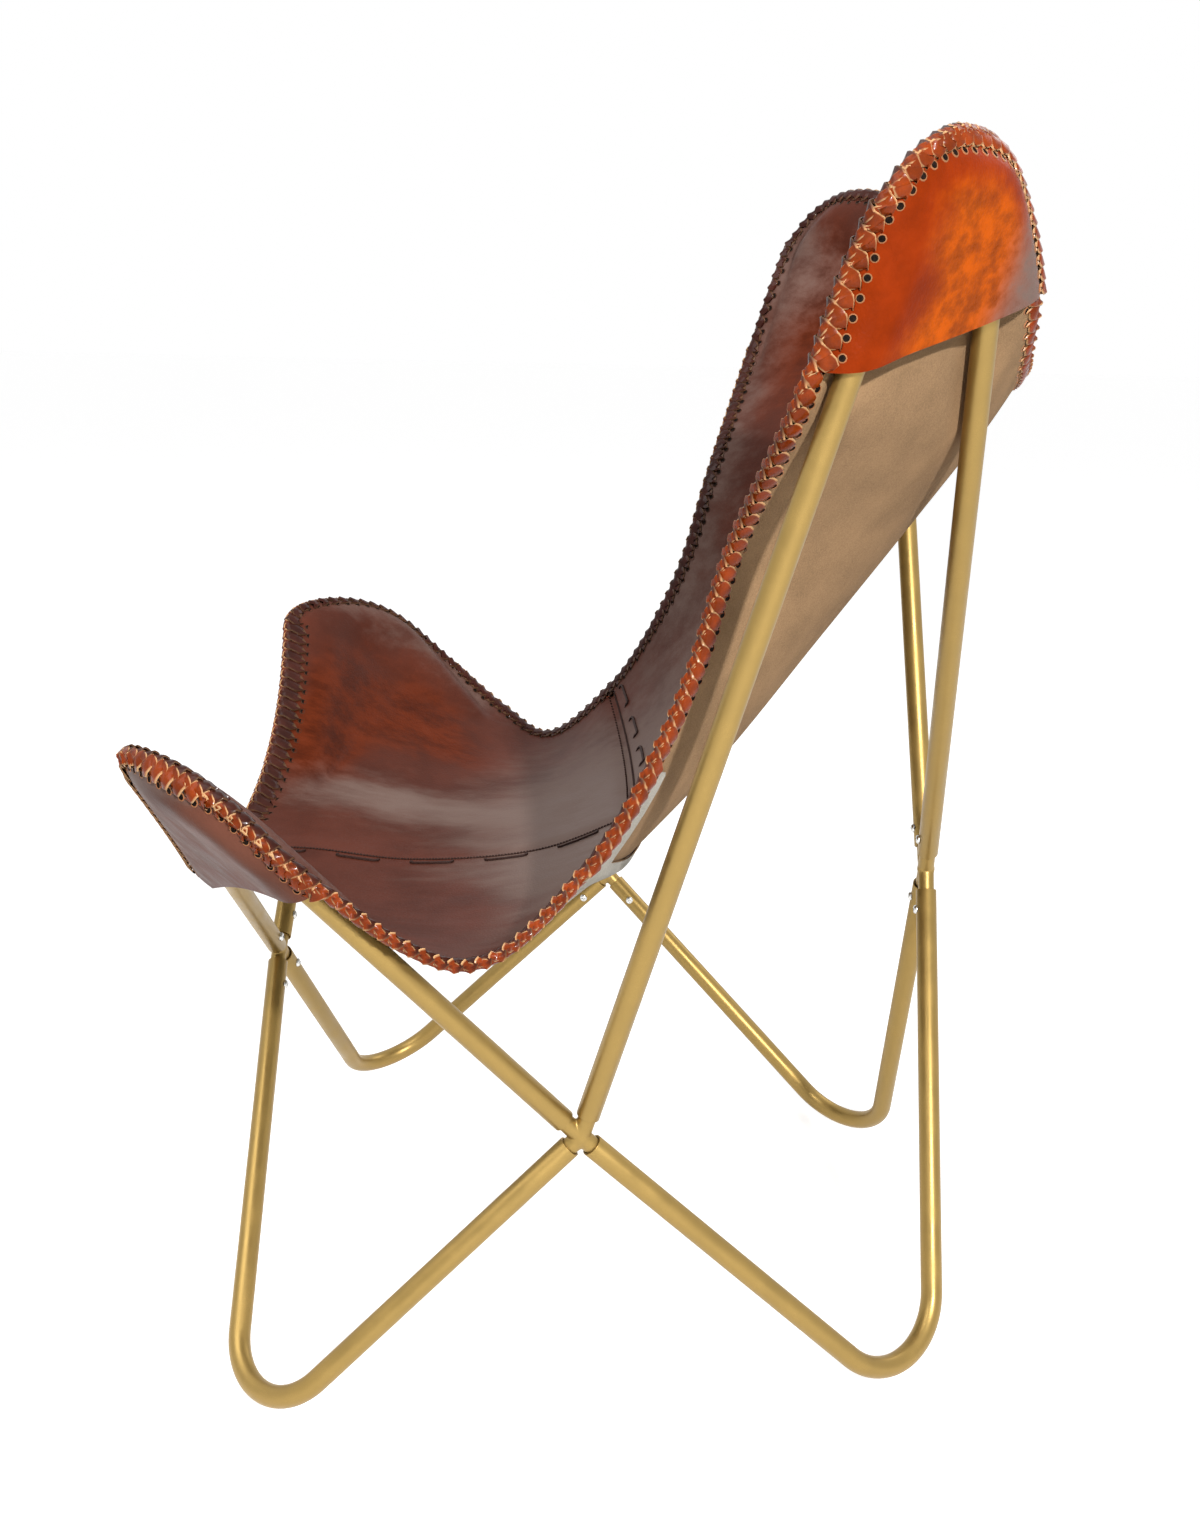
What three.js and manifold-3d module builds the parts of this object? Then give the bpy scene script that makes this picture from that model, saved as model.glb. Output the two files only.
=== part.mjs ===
// Butterfly sling chair: a knock-down frame of bent tubes that holds a laced leather sling.
// Millimetres, +Z up. The front of the chair faces -Y and the sitter's left is at +X.
import * as THREE from 'three';
import { mergeVertices } from 'three/addons/utils/BufferGeometryUtils.js';
import Module from 'manifold-3d';

const wasm = await Module();
wasm.setup();

const at = (x, y, z) => new THREE.Vector3(x, y, z);

// Frame tubes
const TUBE_DIAMETER = 16;
const TUBE_WALL = 1.2;
const BEND_RADIUS = 54;
const FOOT_FLAT_DEPTH = 0.6;

// Points where the straight runs of the tube axes would meet, on the sitter's left
const FRONT_PEAK = at(340, -284, 504);
const REAR_PEAK = at(339.5, 206, 993);
const FRONT_FOOT_X = 302;
const FRONT_FOOT_Y = -254;
const REAR_FOOT_X = 200.5;
const REAR_FOOT_Y = 254;
const SIDE_CROSS = at(273, -11.5, 218);
const FRONT_CROSS = at(0, -277, 234);
const REAR_CROSS = at(0, 249, 326.5);

// Welded cross pieces and the screws that hold the tube ends on them
const SPIGOT_CLEARANCE = 0.3;
const SPIGOT_REACH = 50;
const TUBE_END_CLEARANCE = 2.5;
const WELD_SWELL = 0.9;
const SCREW_DISTANCE = 33;
const SCREW_DIAMETER = 3.5;
const SCREW_LENGTH = 7.5;
const SCREW_HEAD_DIAMETER = 7;
const SCREW_HEAD_HEIGHT = 2.4;
const SCREW_HEAD_SIDE_SHARE = 0.45;
const SCREW_HEAD_CROWN_SHARE = 0.72;
const SCREW_CLEARANCE = 0.3;

// Leather sling
const LEATHER_THICKNESS = 3;
const POCKET_LEATHER_THICKNESS = 2.5;
const LEATHER_GAP = 1;
const POCKET_GAP = 0.8;
const TUBE_EASE = 4;
const TUBE_SPREAD = 28;
const EDGE_SPREAD = 12;
const LAP_WIDTH = 22;
const LACING_DIAMETER = 6;
const LACING_GAP = 1.8;
const SEAT_SAG_POWER = 2.18;
const BACK_SAG_POWER = 2.35;

// Outline of the sling, as shares of its half width and of its length
const TOP_CENTRE = 0.825;
const TOP_SAG = 0.128;
const EAR_RISE = 0.075;
const EAR_START = 0.36;
const EAR_END = 0.8;
const EAR_TOP = 0.979;
const EAR_ROUND_START = 0.86;
const EAR_ROUND_DROP = 0.058;
const EAR_BLEND = 0.004;
const TIP_ROUND_START = 0.87;
const TIP_ROUND_DROP = 0.107;

// Pocket flaps behind the tubes: hem positions in the same shares, and the leather that wraps the tube
const REAR_HEM_SIDE = 0.83;
const REAR_HEM_INNER = 0.895;
const REAR_FLAP_INNER = 0.58;
const FRONT_HEM_SIDE = 0.155;
const FRONT_HEM_INNER = 0.035;
const FRONT_FLAP_INNER = 0.34;
const SIDE_WRAP = 12;
const END_WRAP = 34;

// Facets
const TUBE_SIDES = 12;
const BEND_STEPS = 10;
const SCREW_SIDES = 8;
const LACING_SIDES = 5;
const LACING_STEPS = 80;
const BACK_COLUMNS = 30;
const BACK_ROWS = 18;
const BACK_ROW_BIAS = 1.4;
const SEAT_COLUMNS = 21;
const SEAT_ROWS = 12;
const LAP_ROWS = 2;
const POCKET_COLUMNS = 12;
const POCKET_ROWS = 10;
const EDGE_COLUMNS = 24;
const EDGE_ROWS = 30;
const FLOOR_PASSES = 30;

const TUBE_RADIUS = TUBE_DIAMETER / 2;
const BORE_RADIUS = TUBE_RADIUS - TUBE_WALL;
const SPIGOT_RADIUS = BORE_RADIUS * Math.cos(Math.PI / TUBE_SIDES) - SPIGOT_CLEARANCE;
const SCREW_HOLE_RADIUS = SCREW_DIAMETER / 2 + SCREW_CLEARANCE;
const SIDES = { left: 1, right: -1 };

const clamp01 = (value) => THREE.MathUtils.clamp(value, 0, 1);
const smooth = (value) => THREE.MathUtils.smoothstep(value, 0, 1);
const onSide = (point, sign) => at(point.x * sign, point.y, point.z);

const goldPaint = () => new THREE.MeshStandardMaterial({ color: 0xb08e4c, roughness: 0.38, metalness: 0.7 });
const bareSteel = () => new THREE.MeshStandardMaterial({ color: 0xc9c9c6, roughness: 0.25, metalness: 1 });
const brownLeather = () => new THREE.MeshStandardMaterial({ color: 0x4e302a, roughness: 0.45, metalness: 0 });
const tanLeather = () => new THREE.MeshStandardMaterial({ color: 0xb5520f, roughness: 0.4, metalness: 0 });
const darkLeather = () => new THREE.MeshStandardMaterial({ color: 0x5f2d1c, roughness: 0.42, metalness: 0 });
const thongLeather = () => new THREE.MeshStandardMaterial({ color: 0x8a4322, roughness: 0.4, metalness: 0 });

const chair = new THREE.Group();

function addPiece(name, geometry, material) {
  const mesh = new THREE.Mesh(geometry, material);
  mesh.name = name;
  chair.add(mesh);
}

// Closed meshes and booleans

function signedVolume(position, index) {
  const a = at(0, 0, 0);
  const b = at(0, 0, 0);
  const c = at(0, 0, 0);
  let volume = 0;
  for (let i = 0; i < index.count; i += 3) {
    a.fromBufferAttribute(position, index.getX(i));
    b.fromBufferAttribute(position, index.getX(i + 1));
    c.fromBufferAttribute(position, index.getX(i + 2));
    volume += a.dot(b.cross(c)) / 6;
  }
  return volume;
}

function closed(geometry) {
  const bare = geometry.clone();
  bare.deleteAttribute('normal');
  bare.deleteAttribute('uv');
  const merged = mergeVertices(bare, 1e-4);
  if (signedVolume(merged.attributes.position, merged.index) < 0) {
    merged.index.array.reverse();
  }
  return merged;
}

function solid(geometry) {
  const merged = closed(geometry);
  return new wasm.Manifold(new wasm.Mesh({
    numProp: 3,
    vertProperties: new Float32Array(merged.attributes.position.array),
    triVerts: new Uint32Array(merged.index.array),
  }));
}

function fromSolid(body) {
  const mesh = body.getMesh();
  const geometry = new THREE.BufferGeometry();
  geometry.setAttribute('position', new THREE.BufferAttribute(mesh.vertProperties.slice(), 3));
  geometry.setIndex(new THREE.BufferAttribute(mesh.triVerts.slice(), 1));
  return geometry;
}

function rod(from, to, radius, sides) {
  const axis = to.clone().sub(from);
  const geometry = new THREE.CylinderGeometry(radius, radius, axis.length(), sides);
  const turn = new THREE.Quaternion().setFromUnitVectors(at(0, 1, 0), axis.clone().normalize());
  geometry.applyQuaternion(turn);
  const middle = from.clone().add(to).multiplyScalar(0.5);
  geometry.translate(middle.x, middle.y, middle.z);
  return geometry;
}

// A bend between two straight runs, described in its own plane

function bendBetween(corner, crossA, crossB) {
  const toA = crossA.clone().sub(corner).normalize();
  const toB = crossB.clone().sub(corner).normalize();
  const half = toA.angleTo(toB) / 2;
  const middle = toA.clone().add(toB).normalize();
  const across = toA.clone().sub(toB).normalize();
  const normal = across.clone().cross(middle).normalize();
  const centre = corner.clone().addScaledVector(middle, BEND_RADIUS / Math.sin(half));
  const top = centre.clone().addScaledVector(middle, -BEND_RADIUS);
  return { corner, crossA, crossB, toA, toB, half, middle, across, normal, centre, top };
}

// The virtual corner of a foot lies as low as puts the underside of its bend on the floor
function footCorner(x, y, crossA, crossB) {
  const corner = at(x, y, 0);
  for (let pass = 0; pass < FLOOR_PASSES; pass += 1) {
    const bend = bendBetween(corner, crossA, crossB);
    const dip = BEND_RADIUS * Math.sqrt(1 - bend.normal.z ** 2) + TUBE_RADIUS - FOOT_FLAT_DEPTH;
    corner.z += dip - bend.centre.z;
  }
  return corner;
}

class BentTubePath extends THREE.Curve {
  constructor(bend, gapA, gapB) {
    super();
    this.bend = bend;
    this.start = bend.crossA.clone().addScaledVector(bend.toA, -gapA);
    this.end = bend.crossB.clone().addScaledVector(bend.toB, -gapB);
    this.sweep = Math.PI / 2 - bend.half;
    this.steps = BEND_STEPS + 2;
  }

  arcAngle(step) {
    return THREE.MathUtils.lerp(this.sweep, -this.sweep, (step - 1) / BEND_STEPS);
  }

  arcPoint(angle) {
    return this.bend.centre.clone()
      .addScaledVector(this.bend.across, BEND_RADIUS * Math.sin(angle))
      .addScaledVector(this.bend.middle, -BEND_RADIUS * Math.cos(angle));
  }

  getPointAt(u) {
    const step = u * this.steps;
    if (step <= 1) {
      return this.start.clone().lerp(this.arcPoint(this.sweep), step);
    }
    if (step >= this.steps - 1) {
      return this.arcPoint(-this.sweep).lerp(this.end, step - this.steps + 1);
    }
    return this.arcPoint(this.arcAngle(step));
  }

  getTangentAt(u) {
    const step = THREE.MathUtils.clamp(u * this.steps, 1, this.steps - 1);
    const angle = this.arcAngle(step);
    return this.bend.across.clone().multiplyScalar(-Math.cos(angle))
      .addScaledVector(this.bend.middle, -Math.sin(angle)).normalize();
  }
}

const ringShape = new THREE.Shape().absarc(0, 0, TUBE_RADIUS, 0, 2 * Math.PI);
ringShape.holes.push(new THREE.Path().absarc(0, 0, BORE_RADIUS, 0, 2 * Math.PI));

// Screws: each runs through the tube wall into the spigot, with its head on the chair's inside

function screwPlace(cross, arm, inside) {
  const base = cross.clone().addScaledVector(arm, SCREW_DISTANCE);
  const outward = inside.clone().addScaledVector(arm, -inside.dot(arm)).normalize();
  return { base, outward };
}

function screwHole(place) {
  const depth = TUBE_RADIUS - SCREW_LENGTH - SCREW_CLEARANCE;
  const from = place.base.clone().addScaledVector(place.outward, depth);
  const to = place.base.clone().addScaledVector(place.outward, TUBE_RADIUS + SCREW_HEAD_HEIGHT);
  return solid(rod(from, to, SCREW_HOLE_RADIUS, SCREW_SIDES));
}

function screwGeometry(place) {
  const headRadius = SCREW_HEAD_DIAMETER / 2;
  const seat = TUBE_RADIUS + SCREW_CLEARANCE;
  const profile = [
    new THREE.Vector2(0, seat - SCREW_LENGTH),
    new THREE.Vector2(SCREW_DIAMETER / 2, seat - SCREW_LENGTH),
    new THREE.Vector2(SCREW_DIAMETER / 2, seat),
    new THREE.Vector2(headRadius, seat),
    new THREE.Vector2(headRadius, seat + SCREW_HEAD_HEIGHT * SCREW_HEAD_SIDE_SHARE),
    new THREE.Vector2(headRadius * SCREW_HEAD_CROWN_SHARE, seat + SCREW_HEAD_HEIGHT),
    new THREE.Vector2(0, seat + SCREW_HEAD_HEIGHT),
  ];
  const geometry = new THREE.LatheGeometry(profile, SCREW_SIDES);
  geometry.applyQuaternion(new THREE.Quaternion().setFromUnitVectors(at(0, 1, 0), place.outward));
  geometry.translate(place.base.x, place.base.y, place.base.z);
  return closed(geometry);
}

// Frame: bent tubes, their screws and the welded crosses

const tubes = [];
const crosses = new Map();

for (const [sideName, sign] of Object.entries(SIDES)) {
  const sideCross = onSide(SIDE_CROSS, sign);
  const side = {
    label: 'side',
    crossName: `side_cross_${sideName}`,
    cross: sideCross,
    inside: at(-sign, 0, 0),
  };
  const front = { label: 'front', crossName: 'front_cross', cross: FRONT_CROSS, inside: at(0, 1, 0) };
  const rear = { label: 'rear', crossName: 'rear_cross', cross: REAR_CROSS, inside: at(0, -1, 0) };
  const corners = {
    front_peak: [onSide(FRONT_PEAK, sign), front],
    rear_peak: [onSide(REAR_PEAK, sign), rear],
    front_foot: [footCorner(sign * FRONT_FOOT_X, FRONT_FOOT_Y, sideCross, FRONT_CROSS), front],
    rear_foot: [footCorner(sign * REAR_FOOT_X, REAR_FOOT_Y, sideCross, REAR_CROSS), rear],
  };
  for (const [cornerName, [corner, other]] of Object.entries(corners)) {
    const bend = bendBetween(corner, sideCross, other.cross);
    const ends = [side, other].map((end) => {
      const arm = corner.clone().sub(end.cross).normalize();
      const joined = { ...end, arm, place: screwPlace(end.cross, arm, end.inside) };
      const cross = crosses.get(end.crossName) ?? { centre: end.cross, ends: [] };
      cross.ends.push(joined);
      crosses.set(end.crossName, cross);
      return joined;
    });
    tubes.push({ name: `${cornerName}_${sideName}`, bend, ends });
  }
}

// A tube stops short of the cross by what keeps its rim clear of the next tube's
function endGap(end) {
  const others = crosses.get(end.crossName).ends.filter((other) => other.arm !== end.arm);
  const angle = Math.min(...others.map((other) => other.arm.angleTo(end.arm)));
  return TUBE_RADIUS / Math.tan(angle / 2) + TUBE_END_CLEARANCE;
}

function addTube({ name, bend, ends }) {
  const path = new BentTubePath(bend, endGap(ends[0]), endGap(ends[1]));
  const wall = new THREE.ExtrudeGeometry(ringShape, {
    steps: path.steps,
    extrudePath: path,
    curveSegments: TUBE_SIDES / 2,
  });
  const reach = bend.crossA.distanceTo(bend.crossB);
  const ground = new THREE.BoxGeometry(reach, reach, BEND_RADIUS);
  ground.translate(bend.top.x, bend.top.y, -BEND_RADIUS / 2);
  let tube = solid(wall).subtract(solid(ground));
  for (const end of ends) {
    tube = tube.subtract(screwHole(end.place));
    addPiece(`screw_${name}_${end.label}`, screwGeometry(end.place), bareSteel());
  }
  addPiece(`${name}_tube`, fromSolid(tube), goldPaint());
}

function addCross(name, { centre, ends }) {
  const weld = new THREE.SphereGeometry(SPIGOT_RADIUS + WELD_SWELL, TUBE_SIDES, TUBE_SIDES / 2);
  weld.translate(centre.x, centre.y, centre.z);
  let cross = solid(weld);
  for (const { arm } of ends) {
    const tip = centre.clone().addScaledVector(arm, SPIGOT_REACH);
    cross = cross.add(solid(rod(centre, tip, SPIGOT_RADIUS, TUBE_SIDES)));
  }
  for (const { place } of ends) {
    cross = cross.subtract(screwHole(place));
  }
  addPiece(name, fromSolid(cross), goldPaint());
}

tubes.forEach(addTube);
crosses.forEach((cross, name) => addCross(name, cross));

// Sling surface: u runs from edge to edge, v from the front edge over the waist to the top.
// Its curves are set out from the tops of the tube bends that carry the sling.

const frontBend = bendBetween(FRONT_PEAK, SIDE_CROSS, FRONT_CROSS);
const rearBend = bendBetween(REAR_PEAK, SIDE_CROSS, REAR_CROSS);
const sitter = at(0, 0, (FRONT_PEAK.z + REAR_PEAK.z) / 2);
for (const bend of [frontBend, rearBend]) {
  bend.inward = bend.normal.clone();
  if (bend.inward.dot(sitter.clone().sub(bend.corner)) < 0) {
    bend.inward.negate();
  }
}

const curve = (points) => new THREE.CatmullRomCurve3(points, false, 'catmullrom', 0.5);
const fromFront = (x, y, z) => frontBend.top.clone().add(at(x, y, z));
const fromRear = (x, y, z) => rearBend.top.clone().add(at(x, y, z));
const onCentre = (point) => at(0, point.y, point.z);

const waistCentre = onCentre(fromRear(0, -174, -477));
const seatCentre = curve([
  onCentre(fromFront(0, -59, -137)),
  onCentre(fromFront(0, 7, -134)),
  onCentre(fromFront(0, 94, -140)),
  onCentre(fromFront(0, 195, -128)),
  waistCentre,
]);
const backCentre = curve([
  waistCentre,
  onCentre(fromRear(0, -118, -397)),
  onCentre(fromRear(0, -45, -309)),
  onCentre(fromRear(0, 25, -217)),
  onCentre(fromRear(0, 72, -145)),
  onCentre(fromRear(0, 119, -65)),
  onCentre(fromRear(0, 153, 28)),
]);
const sideEdge = curve([
  fromFront(-19, -66, 47),
  fromFront(30, 36, -8),
  fromFront(22, 133, -84),
  fromFront(-9, 187, -104),
  fromRear(-22, -201, -431),
  fromRear(-39, -163, -367),
  fromRear(-51, -138, -305),
  fromRear(-45, -118, -227),
  fromRear(27, -87, -132),
  fromRear(31, -64, -54),
  fromRear(76, -33, 28),
]);
const WAIST = (seatCentre.points.length - 1) / (sideEdge.points.length - 1);
const SLING_LENGTH = seatCentre.getLength() + backCentre.getLength();

// In the plane of a bend, how far a point lies outside the tube axis; negative between the two runs
function outsideAxis(bend, point) {
  const offset = point.clone().sub(bend.corner);
  const along = offset.dot(bend.middle);
  const across = Math.abs(offset.dot(bend.across));
  const run = across * Math.sin(bend.half) + along * Math.cos(bend.half);
  if (run > BEND_RADIUS / Math.tan(bend.half)) {
    return across * Math.cos(bend.half) - along * Math.sin(bend.half);
  }
  return Math.hypot(across, along - BEND_RADIUS / Math.sin(bend.half)) - BEND_RADIUS;
}

const heightOver = (bend, point) => point.clone().sub(bend.corner).dot(bend.inward);

// The leather lies over the tubes in its pockets and falls off steeply towards its laced edge
function liftOver(bend, point) {
  const crest = TUBE_RADIUS + TUBE_EASE + LEATHER_THICKNESS / 2;
  const outside = outsideAxis(bend, point);
  const sideways = point.clone().sub(bend.top).dot(bend.across);
  const towardsSide = smooth((sideways + BEND_RADIUS) / (2 * BEND_RADIUS));
  const beyond = THREE.MathUtils.lerp(TUBE_SPREAD, EDGE_SPREAD, towardsSide);
  const spread = outside > 0 ? beyond : TUBE_SPREAD;
  const wanted = crest * Math.exp(-((outside / spread) ** 2));
  const missing = wanted - heightOver(bend, point);
  return (missing + Math.hypot(missing, TUBE_EASE)) / 2;
}

function slingPoint(u, v) {
  const edge = sideEdge.getPoint(v);
  const upBack = (v - WAIST) / (1 - WAIST);
  const centre = upBack < 0 ? seatCentre.getPoint(v / WAIST) : backCentre.getPoint(upBack);
  const power = THREE.MathUtils.lerp(SEAT_SAG_POWER, BACK_SAG_POWER, smooth(upBack));
  const share = Math.abs(u) ** power;
  const point = at(Math.abs(u) * edge.x, 0, 0);
  point.y = THREE.MathUtils.lerp(centre.y, edge.y, share);
  point.z = THREE.MathUtils.lerp(centre.z, edge.z, share);
  for (const bend of [frontBend, rearBend]) {
    point.addScaledVector(bend.inward, liftOver(bend, point));
  }
  point.x *= Math.sign(u);
  return point;
}

function topEdge(u) {
  const width = Math.abs(u);
  const rise = EAR_RISE * smooth((width - EAR_START) / (EAR_END - EAR_START));
  const ramp = TOP_CENTRE + TOP_SAG * width ** 2 + rise;
  const share = clamp01((width - EAR_ROUND_START) / (1 - EAR_ROUND_START));
  const round = EAR_TOP - EAR_ROUND_DROP * (1 - Math.sqrt(1 - share ** 2));
  return Math.min(ramp, round) - EAR_BLEND * Math.log(1 + Math.exp(-Math.abs(ramp - round) / EAR_BLEND));
}

function frontEdge(u) {
  const share = clamp01((Math.abs(u) - TIP_ROUND_START) / (1 - TIP_ROUND_START));
  return TIP_ROUND_DROP * (1 - Math.sqrt(1 - share ** 2));
}

// Leather pieces: each is a closed sheet over a grid of u columns and of rows that rowAt places

const NORMAL_STEP = 1e-3;

function sheetNormal(surface, u, v) {
  const alongU = surface(u + NORMAL_STEP, v).sub(surface(u - NORMAL_STEP, v));
  const alongV = surface(u, v + NORMAL_STEP).sub(surface(u, Math.max(v - NORMAL_STEP, 0)));
  return alongU.cross(alongV).normalize();
}

function sheet({ surface, columns, rows, rowAt, thickness, offset = () => 0 }) {
  const positions = [];
  const perFace = columns.length * (rows + 1);
  for (const side of [thickness / 2, -thickness / 2]) {
    for (const u of columns) {
      for (let row = 0; row <= rows; row += 1) {
        const v = rowAt(u, row / rows);
        const point = surface(u, v).addScaledVector(sheetNormal(surface, u, v), offset(u, v) + side);
        positions.push(point.x, point.y, point.z);
      }
    }
  }
  const index = [];
  const quad = (a, b, c, d) => index.push(a, b, c, a, c, d);
  const vertex = (column, row) => column * (rows + 1) + row;
  const last = columns.length - 1;
  for (let column = 0; column < last; column += 1) {
    for (let row = 0; row < rows; row += 1) {
      const near = vertex(column, row);
      const far = vertex(column + 1, row);
      const corners = [near, far, far + 1, near + 1];
      quad(...corners);
      quad(...corners.map((corner) => corner + perFace).reverse());
    }
  }
  const wall = (a, b) => quad(a, a + perFace, b + perFace, b);
  for (let column = 0; column < last; column += 1) {
    wall(vertex(column, 0), vertex(column + 1, 0));
    wall(vertex(column + 1, rows), vertex(column, rows));
  }
  for (let row = 0; row < rows; row += 1) {
    wall(vertex(last, row), vertex(last, row + 1));
    wall(vertex(0, row + 1), vertex(0, row));
  }
  const geometry = new THREE.BufferGeometry();
  geometry.setAttribute('position', new THREE.Float32BufferAttribute(positions, 3));
  geometry.setIndex(index);
  return closed(geometry);
}

const rowsBetween = (low, high) => (u, share) => THREE.MathUtils.lerp(low(u), high(u), share);

// The rows of the back lie closer together in the ears, where the leather rides over the tubes
const backRow = (u, share) => {
  const raised = 1 - (1 - share) ** BACK_ROW_BIAS;
  return THREE.MathUtils.lerp(WAIST + 2 * NORMAL_STEP, topEdge(u), raised);
};

// Columns lie closer together towards an edge, where the outline turns
const columnsBetween = (from, to, count) => {
  const start = Math.asin(from);
  const end = Math.asin(to);
  return Array.from({ length: count + 1 }, (_, i) => Math.sin(THREE.MathUtils.lerp(start, end, i / count)));
};

const LAP = LAP_WIDTH / SLING_LENGTH;
const LAYER = LEATHER_THICKNESS + LEATHER_GAP;
const EDGE_U = 1 - 2 * NORMAL_STEP;

addPiece('back_panel', sheet({
  surface: slingPoint,
  columns: columnsBetween(-EDGE_U, EDGE_U, BACK_COLUMNS),
  rows: BACK_ROWS,
  rowAt: backRow,
  thickness: LEATHER_THICKNESS,
}), brownLeather());

// The seat halves run up behind the back panel at the waist, and the right half runs under the left one
const CENTRE_LAP_U = LAP_WIDTH / sideEdge.getPoint(WAIST).x;
const underBack = (v) => LAYER * smooth((v - WAIST + LAP) / LAP);
const underLeft = (u) => LAYER * smooth((u + CENTRE_LAP_U) / CENTRE_LAP_U);
const seatRow = (u, share) => {
  const row = share * (SEAT_ROWS + LAP_ROWS);
  if (row <= SEAT_ROWS) {
    return THREE.MathUtils.lerp(frontEdge(u), WAIST, row / SEAT_ROWS);
  }
  return WAIST + LAP * (row - SEAT_ROWS) / LAP_ROWS;
};

addPiece('seat_panel_left', sheet({
  surface: slingPoint,
  columns: columnsBetween(0, EDGE_U, SEAT_COLUMNS),
  rows: SEAT_ROWS + LAP_ROWS,
  rowAt: seatRow,
  thickness: LEATHER_THICKNESS,
  offset: (u, v) => -underBack(v),
}), brownLeather());

addPiece('seat_panel_right', sheet({
  surface: slingPoint,
  columns: [...columnsBetween(-EDGE_U, 0, SEAT_COLUMNS), CENTRE_LAP_U],
  rows: SEAT_ROWS + LAP_ROWS,
  rowAt: seatRow,
  thickness: LEATHER_THICKNESS,
  offset: (u, v) => -underBack(v) - underLeft(u),
}), brownLeather());

// Pocket flaps leave the laced edge of the sling and pass behind the tubes

function flapSurface(bend, edgeAt) {
  const behind = TUBE_RADIUS + TUBE_EASE + POCKET_LEATHER_THICKNESS / 2;
  const atEdge = (LEATHER_THICKNESS + POCKET_LEATHER_THICKNESS) / 2 + POCKET_GAP;
  return (u, v) => {
    const point = slingPoint(u, v);
    const left = at(Math.abs(point.x), point.y, point.z);
    const fromSide = (1 - Math.abs(u)) * sideEdge.getPoint(v).x;
    const fromEnd = Math.abs(v - edgeAt(u)) * SLING_LENGTH;
    const fromTube = Math.abs(outsideAxis(bend, left)) - behind + TUBE_EASE;
    const open = smooth(fromSide / SIDE_WRAP) * smooth(fromEnd / END_WRAP);
    const wrap = Math.max(open, 1 - smooth(fromTube / TUBE_EASE));
    const drop = THREE.MathUtils.lerp(atEdge, heightOver(bend, left) + behind, wrap);
    left.addScaledVector(bend.inward, -drop);
    return onSide(left, Math.sign(u));
  };
}

const hemBetween = (inner, innerV, sideV) => (u) => (
  THREE.MathUtils.mapLinear(Math.abs(u), inner, 1, innerV, sideV)
);
const rearHem = hemBetween(REAR_FLAP_INNER, REAR_HEM_INNER, REAR_HEM_SIDE);
const frontHem = hemBetween(FRONT_FLAP_INNER, FRONT_HEM_INNER, FRONT_HEM_SIDE);

for (const [sideName, sign] of Object.entries(SIDES)) {
  const columnsFrom = (inner) => columnsBetween(inner, EDGE_U, POCKET_COLUMNS).map((u) => sign * u);
  addPiece(`rear_pocket_${sideName}`, sheet({
    surface: flapSurface(rearBend, topEdge),
    columns: columnsFrom(REAR_FLAP_INNER),
    rows: POCKET_ROWS,
    rowAt: rowsBetween(rearHem, topEdge),
    thickness: POCKET_LEATHER_THICKNESS,
  }), tanLeather());
  addPiece(`front_pocket_${sideName}`, sheet({
    surface: flapSurface(frontBend, frontEdge),
    columns: columnsFrom(FRONT_FLAP_INNER),
    rows: POCKET_ROWS,
    rowAt: rowsBetween(frontEdge, frontHem),
    thickness: POCKET_LEATHER_THICKNESS,
  }), darkLeather());
}

// The lacing runs round the edge of the sling, one thong for each half

function edgeRun(sign) {
  const across = columnsBetween(LACING_GAP / sideEdge.getPoint(0).x, EDGE_U, EDGE_COLUMNS);
  const front = across.map((u) => [sign * u, frontEdge(u)]);
  const top = across.map((u) => [sign * u, topEdge(u)]).reverse();
  const side = Array.from({ length: EDGE_ROWS - 1 }, (_, i) => {
    const v = THREE.MathUtils.lerp(frontEdge(EDGE_U), topEdge(EDGE_U), (i + 1) / EDGE_ROWS);
    return [sign * EDGE_U, v];
  });
  return [...front, ...side, ...top];
}

function lacingPath(sign) {
  const run = edgeRun(sign);
  const points = run.map(([u, v]) => slingPoint(u, v));
  const outset = LACING_DIAMETER / 2 + LACING_GAP;
  return curve(points.map((point, i) => {
    const tangent = points[Math.min(i + 1, points.length - 1)].clone().sub(points[Math.max(i - 1, 0)]);
    const outward = tangent.cross(sheetNormal(slingPoint, ...run[i])).normalize();
    return point.clone().addScaledVector(outward, sign * outset);
  }));
}

const thongShape = new THREE.Shape().absarc(0, 0, LACING_DIAMETER / 2, 0, 2 * Math.PI);
for (const [sideName, sign] of Object.entries(SIDES)) {
  const thong = new THREE.ExtrudeGeometry(thongShape, {
    steps: LACING_STEPS,
    extrudePath: lacingPath(sign),
    curveSegments: LACING_SIDES / 2,
  });
  addPiece(`edge_lacing_${sideName}`, closed(thong), thongLeather());
}

// The origin is on the floor under the middle of the chair
const box = new THREE.Box3().setFromObject(chair);
chair.position.y = -(box.min.y + box.max.y) / 2;

export default chair;
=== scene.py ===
"""Looks of a butterfly sling chair: gold tube frame, laced leather sling, stage and camera."""

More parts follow.
